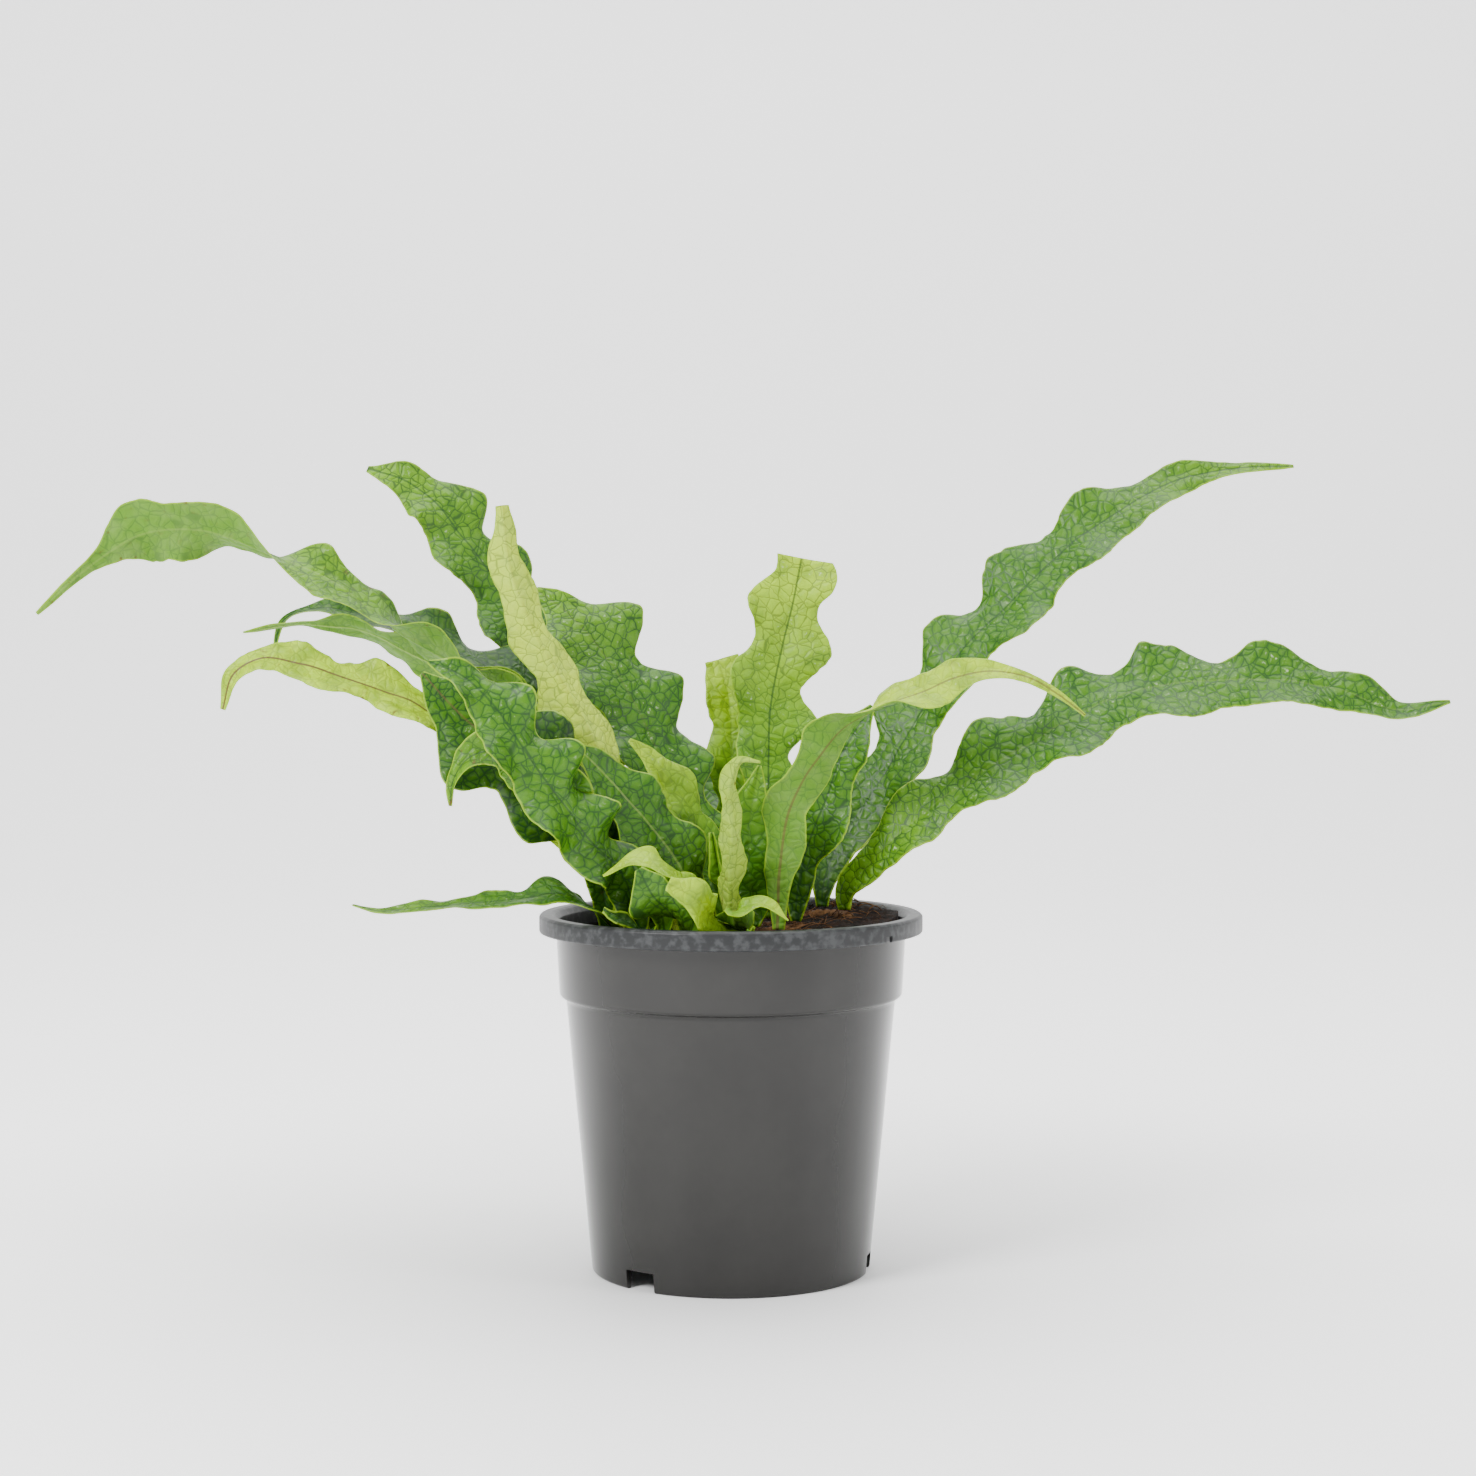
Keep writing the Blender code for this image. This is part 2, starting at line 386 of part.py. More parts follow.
def pot_openings():
    """The cutters of the pot, as one mesh: foot notches, drain holes and the notch in the lip."""
    points, faces = [], []

    def take(more):
        first = len(points)
        points.extend(more[0])
        faces.extend(tuple(first + i for i in face) for face in more[1])

    for k in range(FOOT_NOTCHES):
        bearing = NOTCH_BEARING + k * 360 / FOOT_NOTCHES
        take(box_solid(NOTCH_WIDTH, 10 * MM, -1 * MM, FLOOR_HEIGHT - 0.4 * MM, bearing,
                       FOOT_RADIUS))
    take(box_solid(5 * MM, 6 * MM, POT_HEIGHT - LIP_HEIGHT - 2 * MM,
                   POT_HEIGHT - LIP_HEIGHT + 3 * MM, LIP_NOTCH_BEARING, RIM_RADIUS))
    for k in range(DRAIN_HOLES):
        a = (k + 0.5) * 2 * math.pi / DRAIN_HOLES
        ring = [(DRAIN_RADIUS, FLOOR_HEIGHT - 2 * MM), (DRAIN_RADIUS, FLOOR_HEIGHT + 4 * MM)]
        hole = turned(ring, 10, FLOOR_HEIGHT - 2 * MM, FLOOR_HEIGHT + 4 * MM)
        centre = np.array([math.sin(a), -math.cos(a), 0.0]) * DRAIN_CIRCLE
        take(([np.array(p) + centre for p in hole[0]], hole[1]))
    return add_mesh("pot_openings", points, faces)


def make_pot():
    points, faces = turned(pot_profile(), POT_SIDES, 0.0, 2.0 * MM)
    pot = add_mesh("pot", points, faces, finish("pot_plastic", (0.075, 0.074, 0.072), 0.32))
    cut(pot, pot_openings())
    return pot


# ---- soil and rhizome ---------------------------------------------------------------------
def soil_height(x, y):
    """Height of the soil surface: low on the left, heaped on the right, with gentle swells."""
    rise = np.clip((x + 20 * MM) / (85 * MM), 0.0, 1.0)
    heap = 15 * MM * rise * rise * (3 - 2 * rise)
    swell = 1.2 * MM * np.sin(x / (11 * MM) + 0.6) * np.cos(y / (13 * MM) + 0.3)
    return 161.5 * MM + heap + swell


def make_soil(cutter):
    """The soil: a turned plug that fills the pot, with the heaped surface on top."""
    sides = SOIL_SIDES
    top = POT_HEIGHT
    side = [
        (PAD_RADIUS - 1.6 * MM, 2.0 * MM + GAP),
        (PAD_RADIUS + 2.2 * MM, FLOOR_HEIGHT + 2.0 * MM + GAP),
        (FOOT_RADIUS - WALL - 1.0 * MM, FLOOR_HEIGHT + 2.0 * MM + GAP),
        (BODY_TOP_RADIUS - WALL - 0.7 * MM, STEP_HEIGHT - 2.0 * MM),
        (BAND_FOOT_RADIUS - WALL - 0.8 * MM, STEP_HEIGHT + 2.2 * MM),
        (BAND_FOOT_RADIUS - WALL - 0.2 * MM, 155 * MM),
    ]
    surface = [(BAND_FOOT_RADIUS - WALL - 0.2 * MM) * f for f in (1.0, 0.86, 0.7, 0.54, 0.36, 0.18)]
    points, faces = turned(side + [(r, top) for r in surface], sides, 2.0 * MM + GAP, top)
    points = np.array(points)
    upper = np.arange(len(side) * sides, len(points) - 2).tolist() + [len(points) - 1]
    points[upper, 2] = soil_height(points[upper, 0], points[upper, 1])
    soil = add_mesh("soil", points, faces, finish("soil_peat", (0.030, 0.014, 0.008), 0.95))
    cut(soil, cutter)
    return soil


def rhizome_line(count):
    flat = smooth_path([(x * CM, y * CM) for x, y in RHIZOME_ROUTE], count)
    return np.column_stack([flat, soil_height(flat[:, 0], flat[:, 1]) - RHIZOME_DEPTH])


def tube(name, radius, overshoot, material=None):
    """A tube along the rhizome's line, with eight sides and pointed ends."""
    line = rhizome_line(44)
    along = unit(np.gradient(line, axis=0))
    across = unit(np.cross(along, (0.0, 0.0, 1.0)))
    upward = np.cross(across, along)
    swell = radius + 0.35 * MM * np.sin(np.arange(44) * 2.1)
    angle = np.arange(8) * math.pi / 4
    rings = line[:, None] + swell[:, None, None] * (
        np.cos(angle)[None, :, None] * across[:, None] + np.sin(angle)[None, :, None]
        * upward[:, None])
    points = rings.reshape(-1, 3).tolist()
    faces = []
    for r in range(43):
        for s in range(8):
            n = (s + 1) % 8
            faces.append((r * 8 + n, r * 8 + s, (r + 1) * 8 + s, (r + 1) * 8 + n))
    points.append((line[0] - along[0] * (3 * MM + overshoot)).tolist())
    points.append((line[-1] + along[-1] * (3 * MM + overshoot)).tolist())
    for s in range(8):
        n = (s + 1) % 8
        faces.append((len(points) - 2, s, n))
        faces.append((len(points) - 1, 43 * 8 + n, 43 * 8 + s))
    return add_mesh(name, points, faces, material)


# ---- fronds -------------------------------------------------------------------------------
def lobe_phase(run, crests):
    """Phase of the margin's wave: a whole turn from each lobe to the next, and on past the ends."""
    crests = np.array(crests, float)
    first = crests[0] - np.arange(8, 0, -1) * (crests[1] - crests[0])
    last = crests[-1] + np.arange(1, 9) * (crests[-1] - crests[-2])
    places = np.concatenate([first, crests, last])
    return 2 * math.pi * np.interp(run, places, np.arange(len(places)))


def stations(values, count):
    """The values, spread evenly from base to tip and read smoothly at count places."""
    values = np.array(values, float)
    values = values[:, None] if values.ndim == 1 else values
    at = np.linspace(0.0, 1.0, count)
    knots = np.linspace(0.0, 1.0, len(values))
    slopes = np.gradient(values, knots, axis=0)
    k = np.clip(np.searchsorted(knots, at, side="right") - 1, 0, len(knots) - 2)
    span = (knots[k + 1] - knots[k])[:, None]
    t = (at - knots[k])[:, None] / span
    return ((2 * t**3 - 3 * t**2 + 1) * values[k] + (t**3 - 2 * t**2 + t) * span * slopes[k]
            + (3 * t**2 - 2 * t**3) * values[k + 1] + (t**3 - t**2) * span * slopes[k + 1])


def frond_start(frond, line):
    """The point just above the rhizome, at the place nearest to the frond's root."""
    root = np.array(frond.root) * CM
    nearest = line[np.argmin(np.linalg.norm(line[:, :2] - root, axis=1))]
    return nearest + np.array([0.0, 0.0, RHIZOME_RADIUS + 1.3 * MM])


def blade_points(frond, line, rows, columns):
    """The middle surface of a blade: rows along the midrib, columns from right margin to left.

    A point is the midrib's, plus its share of the half-width along the blade, lifted by the cup
    angle, plus a wave that grows towards the margin.
    """
    start = frond_start(frond, line)
    path = [start, start + np.array([0.0, 0.0, 6 * MM])]
    path += [np.array(p) * CM for p in frond.path]
    midrib = smooth_path(path, rows)
    run = np.linspace(0.0, 1.0, rows) * np.sum(
        np.linalg.norm(np.diff(smooth_path(path, 200), axis=0), axis=1)) / CM
    along = unit(np.gradient(midrib, axis=0))
    faces = stations(frond.faces, rows)
    faces = unit(faces - np.sum(faces * along, axis=1, keepdims=True) * along)
    across = np.cross(faces, along)
    half = np.maximum(stations(frond.widths, rows)[:, 0], 0.05) * CM
    share = np.linspace(-1.0, 1.0, columns)
    left = share > 0
    phase = np.where(left[None, :], lobe_phase(run, frond.left)[:, None],
                     lobe_phase(run, frond.right)[:, None])
    free = np.clip(half / (max(frond.widths) * CM), 0.0, 1.0)[:, None]
    reach = half[:, None] * np.abs(share) * (1 + LOBE_DEPTH * free * np.cos(phase)
                                             * np.abs(share))
    cup = np.radians(stations(frond.cup, rows))
    wave = frond.ruffle * CM * free * np.abs(share) ** 1.6 * np.cos(phase + 0.5)
    return (midrib[:, None]
            + (np.sign(share) * reach * np.cos(cup))[:, :, None] * across[:, None]
            + (reach * np.sin(cup) + wave)[:, :, None] * faces[:, None])


def surface_normals(points):
    """Unit normals of a grid of points, from its two slopes."""
    along = np.gradient(points, axis=0)
    across = np.gradient(points, axis=1)
    return unit(np.cross(along, across))


def make_frond(frond, line, materials):
    columns = 5
    middle = blade_points(frond, line, frond.rows, columns)
    run = np.linspace(0.0, 1.0, frond.rows)
    thickness = BLADE + STALK * np.exp(-run * 12.0)
    lift = surface_normals(middle) * (thickness / 2)[:, None, None]
    points = np.concatenate([(middle + lift).reshape(-1, 3), (middle - lift).reshape(-1, 3)])
    half = frond.rows * columns
    faces = grid_faces(frond.rows, columns) + grid_faces(frond.rows, columns, half, True)
    edge = [i * columns for i in range(frond.rows)]
    edge += [(frond.rows - 1) * columns + j for j in range(1, columns)]
    edge += [i * columns + columns - 1 for i in range(frond.rows - 2, -1, -1)]
    edge += list(range(columns - 2, 0, -1))
    for a, b in zip(edge, edge[1:] + edge[:1]):
        faces.append((b, a, a + half, b + half))
    return add_mesh(frond.name, points, faces, materials[frond.tint])


def main():
    clear_scene()
    make_pot()
    bark = finish("rhizome_bark", (0.06, 0.045, 0.02), 0.8)
    make_soil(tube("rhizome_bed", RHIZOME_RADIUS + GAP, GAP))
    tube("rhizome", RHIZOME_RADIUS, 0.0, bark)
    materials = {
        YOUNG: finish("frond_young", YOUNG, 0.4),
        LEAF: finish("frond_green", LEAF, 0.35),
        DARK: finish("frond_dark", DARK, 0.35),
        PALE: finish("frond_pale", PALE, 0.45),
    }
    line = rhizome_line(400)
    for frond in FRONDS:
        make_frond(frond, line, materials)


main()
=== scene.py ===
# %% [markdown]
# # Potted fern
# A strap-leaved fern with wavy, net-veined fronds in a charcoal nursery pot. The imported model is
# loaded first. It gives the real size and place of every piece, and each finished surface below
# stands where its plain solid stands. -Y is the front and +Z is up, in metres.

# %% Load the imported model
import json
import math

import bpy
import numpy as np
from collections import namedtuple
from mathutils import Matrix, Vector


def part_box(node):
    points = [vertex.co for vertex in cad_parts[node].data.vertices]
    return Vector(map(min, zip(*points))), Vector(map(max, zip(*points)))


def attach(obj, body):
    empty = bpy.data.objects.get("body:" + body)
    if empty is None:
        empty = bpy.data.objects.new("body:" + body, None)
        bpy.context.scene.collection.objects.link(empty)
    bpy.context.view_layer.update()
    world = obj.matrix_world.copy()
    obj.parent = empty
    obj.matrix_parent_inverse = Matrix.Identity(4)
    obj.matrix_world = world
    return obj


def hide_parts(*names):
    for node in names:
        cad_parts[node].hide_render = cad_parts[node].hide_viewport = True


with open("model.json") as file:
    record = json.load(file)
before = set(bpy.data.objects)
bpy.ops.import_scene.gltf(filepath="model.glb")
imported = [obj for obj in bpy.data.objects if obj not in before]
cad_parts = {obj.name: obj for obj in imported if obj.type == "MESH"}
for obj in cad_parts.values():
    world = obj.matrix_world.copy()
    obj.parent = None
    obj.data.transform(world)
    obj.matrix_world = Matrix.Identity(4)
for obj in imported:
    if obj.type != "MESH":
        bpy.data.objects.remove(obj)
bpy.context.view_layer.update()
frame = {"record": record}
CM = 0.01
MM = 0.001

# %% [markdown]
# ## Camera
# The plant stands a little below eye level, seen from 1.35 m with a short telephoto lens. That
# keeps the pot's sides nearly parallel and still shows the rim as a thin ellipse.

# %% Camera
CAMERA_DISTANCE = 1.35
CAMERA_HEIGHT = 0.31
CAMERA_SIDE = 3.5 * MM
LENS = 66.5
CAMERA_PITCH = 1.97

camera_data = bpy.data.cameras.new("camera")
camera_data.lens = LENS
camera_data.sensor_width = 36.0
camera = bpy.data.objects.new("camera", camera_data)
camera.location = (CAMERA_SIDE, -CAMERA_DISTANCE, CAMERA_HEIGHT)
camera.rotation_euler = (math.radians(90.0 - CAMERA_PITCH), 0.0, 0.0)
bpy.context.scene.collection.objects.link(camera)
bpy.context.scene.camera = camera
print("camera", tuple(camera.location), "lens", LENS)

# %% [markdown]
# ## Helpers for surfaces
# Every new piece is a grid of points worked out as whole numpy arrays and handed to Blender in one
# go. A grid needs its quads, its normals and some stored values that the finish can read, so these
# few helpers come first.

# %% Grids and meshes
def unit(vectors):
    """Each vector divided by its length."""
    return vectors / np.linalg.norm(vectors, axis=-1, keepdims=True)


def grid_quads(rows, columns, first=0, turned=False, closed=False):
    """Quads between neighbouring rows and columns of a grid whose points run row by row.

    With closed, the last column joins the first. With turned, the quads face the other way.
    """
    spans = columns if closed else columns - 1
    i, j = np.meshgrid(np.arange(rows - 1), np.arange(spans), indexing="ij")
    a = i * columns + j
    b = i * columns + (j + 1) % columns
    quads = np.stack([a, a + columns, b + columns, b], axis=-1).reshape(-1, 4) + first
    return quads[:, ::-1] if turned else quads


def mesh_piece(name, points, faces, values=None, smooth=True, sharp=None):
    """A mesh object at the origin from points and equal-sided faces, with values stored on it."""
    mesh = bpy.data.meshes.new(name)
    mesh.from_pydata(points.reshape(-1, 3), [], faces)
    mesh.validate()
    for key, data in (values or {}).items():
        vector = data.ndim == 2
        attribute = mesh.attributes.new(key, "FLOAT_VECTOR" if vector else "FLOAT", "POINT")
        attribute.data.foreach_set("vector" if vector else "value", data.astype("f4").ravel())
    if smooth:
        mesh.shade_smooth()
        if sharp:
            mesh.set_sharp_from_angle(angle=math.radians(sharp))
    piece = bpy.data.objects.new(name, mesh)
    bpy.context.scene.collection.objects.link(piece)
    return piece


def triangles(piece):
    return sum(len(p.vertices) - 2 for p in piece.data.polygons)


def smooth_step(low, high, x):
    t = np.clip((x - low) / (high - low), 0.0, 1.0)
    return t * t * (3 - 2 * t)


def lattice_noise(x, y, seed):
    """Smooth random values from -1 to 1: a fixed random number at each whole (x, y), blended
    between the four nearest ones with a smooth step."""
    table = np.random.default_rng(seed).uniform(-1.0, 1.0, (64, 64))
    ix, iy = np.floor(x).astype(int), np.floor(y).astype(int)
    fx, fy = smooth_step(0.0, 1.0, x - ix), smooth_step(0.0, 1.0, y - iy)
    a, b = table[ix % 64, iy % 64], table[(ix + 1) % 64, iy % 64]
    c, d = table[ix % 64, (iy + 1) % 64], table[(ix + 1) % 64, (iy + 1) % 64]
    return (a * (1 - fx) + b * fx) * (1 - fy) + (c * (1 - fx) + d * fx) * fy


def hermite(knots, values, at):
    """A smooth curve through the values: between two knots, the cubic whose ends take the slope
    that the neighbouring values give."""
    slopes = np.gradient(values, knots, axis=0)
    k = np.clip(np.searchsorted(knots, at, side="right") - 1, 0, len(knots) - 2)
    span = (knots[k + 1] - knots[k])[:, None]
    t = (at - knots[k])[:, None] / span
    return ((2 * t**3 - 3 * t**2 + 1) * values[k] + (t**3 - 2 * t**2 + t) * span * slopes[k]
            + (3 * t**2 - 2 * t**3) * values[k + 1] + (t**3 - t**2) * span * slopes[k + 1])


def run_length(curve):
    """Distance along a polyline, from 0 at its first point."""
    steps = np.linalg.norm(np.diff(curve, axis=0), axis=1)
    return np.concatenate([[0.0], np.cumsum(steps)])


def smooth_path(points, count):
    """The smooth curve through the points, read at count places an equal length apart."""
    points = np.array(points, float)
    knots = run_length(points)
    curve = hermite(knots, points, np.linspace(0.0, knots[-1], 40 * len(points)))
    run = run_length(curve)
    even = np.linspace(0.0, run[-1], count)
    return np.stack([np.interp(even, run, curve[:, c]) for c in range(curve.shape[1])], axis=1)


def stations(values, count):
    """Values spread evenly from base to tip, read smoothly at count places."""
    values = np.array(values, float)
    values = values[:, None] if values.ndim == 1 else values
    return hermite(np.linspace(0.0, 1.0, len(values)), values, np.linspace(0.0, 1.0, count))

# %% [markdown]
# ## Pot
# A pot like this is usually injection-moulded from recycled polypropylene, so its skin copies the mould:
# a polished tapered wall, a small step into an upper band, and a lip that is turned outward and
# left matte. It is a shape of revolution, which a lathe profile gives directly. Three notches in
# the foot and a hole in each drainage place let water out. The small notch
# under the lip may be for a hanger's hook.

# %% Pot shape
POT_HEIGHT = 177 * MM
RIM_RADIUS = 95 * MM
LIP_HEIGHT = 9 * MM
WALL = 1.6 * MM
BAND_TOP_RADIUS = 87 * MM
BAND_FOOT_RADIUS = 85 * MM
STEP_HEIGHT = 137 * MM
BODY_TOP_RADIUS = 81.6 * MM
FOOT_RADIUS = 69 * MM
FLOOR_HEIGHT = 10 * MM
PAD_RADIUS = 22 * MM
FOOT_NOTCHES = 3
FOOT_NOTCH = (17 * MM, 10 * MM, 10.6 * MM)
FOOT_NOTCH_BEARING = -39.0
LIP_NOTCH = (5 * MM, 6 * MM, 5 * MM)
LIP_NOTCH_BEARING = 52.7
DRAIN_HOLES = 8
DRAIN_HOLE = (9 * MM, 9 * MM, 6 * MM)
DRAIN_CIRCLE = 47 * MM
POT_SIDES = 240


def pot_profile():
    """(radius, height) from the middle of the underside, out and up the outer wall, over the
    lip and down the inner wall to the middle of the floor."""
    top, lip = POT_HEIGHT, POT_HEIGHT - LIP_HEIGHT
    return np.array([
        (0.0, 0.0), (PAD_RADIUS, 0.0), (PAD_RADIUS + 4 * MM, FLOOR_HEIGHT),
        (FOOT_RADIUS - 2.6 * MM, FLOOR_HEIGHT), (FOOT_RADIUS - 2.8 * MM, 0.0),
        (FOOT_RADIUS - 0.6 * MM, 0.0), (FOOT_RADIUS, 0.8 * MM),
        (BODY_TOP_RADIUS, STEP_HEIGHT - 3 * MM),
        (BODY_TOP_RADIUS + 0.6 * MM, STEP_HEIGHT - 1.4 * MM),
        (BAND_FOOT_RADIUS - 0.6 * MM, STEP_HEIGHT - 0.6 * MM),
        (BAND_FOOT_RADIUS, STEP_HEIGHT + 0.6 * MM),
        (BAND_TOP_RADIUS, top - 2 * MM),
        (RIM_RADIUS - WALL - 0.2 * MM, top - 2 * MM), (RIM_RADIUS - WALL, lip),
        (RIM_RADIUS - 0.5 * MM, lip), (RIM_RADIUS, lip + 0.6 * MM),
        (RIM_RADIUS, top - 1.2 * MM), (RIM_RADIUS - 1.2 * MM, top),
        (BAND_TOP_RADIUS + 2 * MM, top), (BAND_TOP_RADIUS + 0.4 * MM, top - 0.8 * MM),
        (BAND_TOP_RADIUS - WALL, top - 3.4 * MM),
        (BAND_FOOT_RADIUS - WALL, STEP_HEIGHT + 1.6 * MM),
        (BODY_TOP_RADIUS - WALL, STEP_HEIGHT - 2.2 * MM),
        (FOOT_RADIUS - WALL, FLOOR_HEIGHT + 2 * MM), (PAD_RADIUS + 3 * MM, FLOOR_HEIGHT + 2 * MM),
        (PAD_RADIUS - 1 * MM, 2 * MM), (0.0, 2 * MM),
    ])


def rounded(profile, radius, steps=4):
    """The profile with each inner corner replaced by a short curve.

    The curve is the quadratic one from a point on the side before the corner to a point on the
    side after it, each at most the radius away and less than half that side.
    """
    corner, before, after = profile[1:-1], profile[:-2], profile[2:]
    reach_in = np.linalg.norm(before - corner, axis=1, keepdims=True)
    reach_out = np.linalg.norm(after - corner, axis=1, keepdims=True)
    a = corner + (before - corner) * np.minimum(radius / reach_in, 0.45)
    b = corner + (after - corner) * np.minimum(radius / reach_out, 0.45)
    t = np.linspace(0.0, 1.0, steps + 1)[None, :, None]
    curve = (1 - t)**2 * a[:, None] + 2 * t * (1 - t) * corner[:, None] + t**2 * b[:, None]
    return np.concatenate([profile[:1], curve.reshape(-1, 2), profile[-1:]])


def filled_in(profile, longest):
    """The profile with points added so that no side is longer than the given length."""
    run = run_length(profile)
    extra = np.arange(0.0, run[-1], longest)
    at = np.sort(np.concatenate([run, extra]))
    at = at[np.concatenate([[True], np.diff(at) > 0.05 * MM])]
    return np.stack([np.interp(at, run, profile[:, c]) for c in range(2)], axis=1)


def lathe(profile, sides, wobble=None):
    """Points and faces of the profile turned about Z, with its two ends closed at a pole.

    The wobble is a small change of radius as a function of the angle and the height.
    """
    angle = np.linspace(0.0, 2 * np.pi, sides, endpoint=False)
    radius, height = profile[1:-1, 0][:, None], profile[1:-1, 1][:, None]
    if wobble:
        radius = radius + wobble(angle[None, :], height)
    ring = np.stack([radius * np.sin(angle), -radius * np.cos(angle),
                     height + 0 * angle], axis=-1).reshape(-1, 3)
    poles = np.array([[0.0, 0.0, profile[0, 1]], [0.0, 0.0, profile[-1, 1]]])
    rows = len(profile) - 2
    quads = grid_quads(rows, sides, closed=True, turned=True)
    j = np.arange(sides)
    k = (j + 1) % sides
    low, high, last = rows * sides, rows * sides + 1, (rows - 1) * sides
    caps = np.concatenate([np.stack([j + last, k + last, 0 * j + high], axis=-1),
                           np.stack([k, j, 0 * j + low], axis=-1)])
    return np.concatenate([ring, poles]), quads.tolist() + caps.tolist()


def sink_marks(angle, height):
    """Moulded walls pull in a little as they cool: three slow waves around, a few tenths high."""
    wall = smooth_step(0.0, 12 * MM, height) * smooth_step(STEP_HEIGHT, STEP_HEIGHT - 9 * MM, height)
    wave = np.sin(3 * angle + 0.4) + 0.5 * np.sin(7 * angle + 60 * height) + 0.3 * np.sin(13 * angle)
    return 0.12 * MM * wall * wave


def box_corners(size, centre, bearing):
    """Eight corners and six faces of a box whose middle lies at a bearing, turned to face out."""
    signs = np.array([(x, y, z) for z in (-1, 1) for x, y in ((-1, -1), (1, -1), (1, 1), (-1, 1))])
    corners = signs * np.array(size) / 2 + np.array([0.0, -centre[0], centre[1]])
    turn = math.radians(bearing)
    rotate = np.array([[math.cos(turn), -math.sin(turn)], [math.sin(turn), math.cos(turn)]])
    corners[:, :2] = corners[:, :2] @ rotate.T
    faces = [(3, 2, 1, 0), (4, 5, 6, 7), (0, 1, 5, 4), (1, 2, 6, 5), (2, 3, 7, 6), (3, 0, 4, 7)]
    return corners, np.array(faces)


def cut(piece, boxes):
    """Cuts all the boxes out of the piece and leaves one plain mesh."""
    points = np.concatenate([corners for corners, faces in boxes])
    faces = np.concatenate([faces + 8 * i for i, (corners, faces) in enumerate(boxes)])
    cutter = mesh_piece("cutter", points, faces, smooth=False)
    boolean = piece.modifiers.new("cuts", "BOOLEAN")
    boolean.object = cutter
    boolean.solver = "EXACT"
    graph = bpy.context.evaluated_depsgraph_get()
    done = bpy.data.meshes.new_from_object(piece.evaluated_get(graph))
    piece.modifiers.clear()
    piece.data = done
    bpy.data.objects.remove(cutter, do_unlink=True)
    return piece


profile = filled_in(rounded(pot_profile(), 0.5 * MM), 5 * MM)
points, faces = lathe(profile, POT_SIDES, sink_marks)
pot = mesh_piece("pot_moulded", points, faces)
notches = [box_corners(FOOT_NOTCH, (FOOT_RADIUS, 4.3 * MM), FOOT_NOTCH_BEARING + 120.0 * k)
           for k in range(FOOT_NOTCHES)]
notches.append(box_corners(LIP_NOTCH, (RIM_RADIUS, 168.5 * MM), LIP_NOTCH_BEARING))
notches += [box_corners(DRAIN_HOLE, (DRAIN_CIRCLE, 11 * MM), 45.0 * k) for k in range(DRAIN_HOLES)]
cut(pot, notches)
pot.data.shade_smooth()
pot.data.set_sharp_from_angle(angle=math.radians(35))
print("pot:", triangles(pot), "triangles, rim", 2 * RIM_RADIUS, "m across")

# %% [markdown]
# ## Soil and rhizome
# The potting mix is peat and bark. It lies a centimetre and a half under the rim at the left and
# is heaped to the rim at the right. The crumbs are real bumps, because the light grazes them. A
# creeping stem, the rhizome, winds through the surface, and every frond grows from it.

# %% Soil surface
SOIL_RADIUS = 83.0 * MM


def soil_height(x, y):
    """Height of the soil: level at the left, heaped towards the right, with low swells."""
    rise = np.clip((x + 20 * MM) / (85 * MM), 0.0, 1.0)
    heap = 15 * MM * rise * rise * (3 - 2 * rise)
    swell = 1.2 * MM * np.sin(x / (11 * MM) + 0.6) * np.cos(y / (13 * MM) + 0.3)
    return 161.5 * MM + heap + swell


def crumb_height(x, y):
    """Crumbs of three sizes: rounded bumps, each the fold of a smooth random field."""
    coarse = 1 - np.abs(lattice_noise(x / (7 * MM) + 9, y / (7 * MM) + 9, 3))
    middle = 1 - np.abs(lattice_noise(x / (3.1 * MM) + 9, y / (3.1 * MM) + 9, 4))
    fine = lattice_noise(x / (1.4 * MM) + 9, y / (1.4 * MM) + 9, 5)
    return 1.6 * MM * coarse + 1.3 * MM * middle + 0.5 * MM * fine - 1.9 * MM


def soil_piece():
    """A crumbly top on a plain body: rings of points from the middle out, then down the side
    and in again under the floor."""
    sides, rings = 300, 90
    angle = np.linspace(0.0, 2 * np.pi, sides, endpoint=False)[None, :]
    reach = np.linspace(0.6 * MM, SOIL_RADIUS, rings)[:, None]
    x, y = reach * np.sin(angle), -reach * np.cos(angle)
    edge = smooth_step(SOIL_RADIUS, SOIL_RADIUS - 6 * MM, reach)
    z = soil_height(x, y) + crumb_height(x, y) * edge
    top = np.stack([x, y, z], axis=-1)
    low = np.array([(BODY_TOP_RADIUS - WALL - 0.6 * MM, STEP_HEIGHT - 3 * MM),
                    (FOOT_RADIUS - WALL - 0.3 * MM, FLOOR_HEIGHT + 2.6 * MM),
                    (PAD_RADIUS + 4 * MM, FLOOR_HEIGHT + 2.6 * MM), (0.6 * MM, 12.6 * MM)])
    under = np.stack([low[:, :1] * np.sin(angle), -low[:, :1] * np.cos(angle),
                      low[:, 1:] + 0 * angle], axis=-1)
    grid = np.concatenate([top, under])
    rows = len(grid)
    middle = np.array([[0.0, 0.0, float(z[0].mean())], [0.0, 0.0, 12.6 * MM]])
    j = np.arange(sides)
    k = (j + 1) % sides
    last, first = (rows - 1) * sides, rows * sides
    caps = np.concatenate([np.stack([j, k, 0 * j + first], axis=-1),
                           np.stack([k + last, j + last, 0 * j + first + 1], axis=-1)])
    faces = grid_quads(rows, sides, closed=True).tolist() + caps.tolist()
    return mesh_piece("soil_crumbs", np.concatenate([grid.reshape(-1, 3), middle]), faces)


soil = soil_piece()
print("soil:", triangles(soil), "triangles")

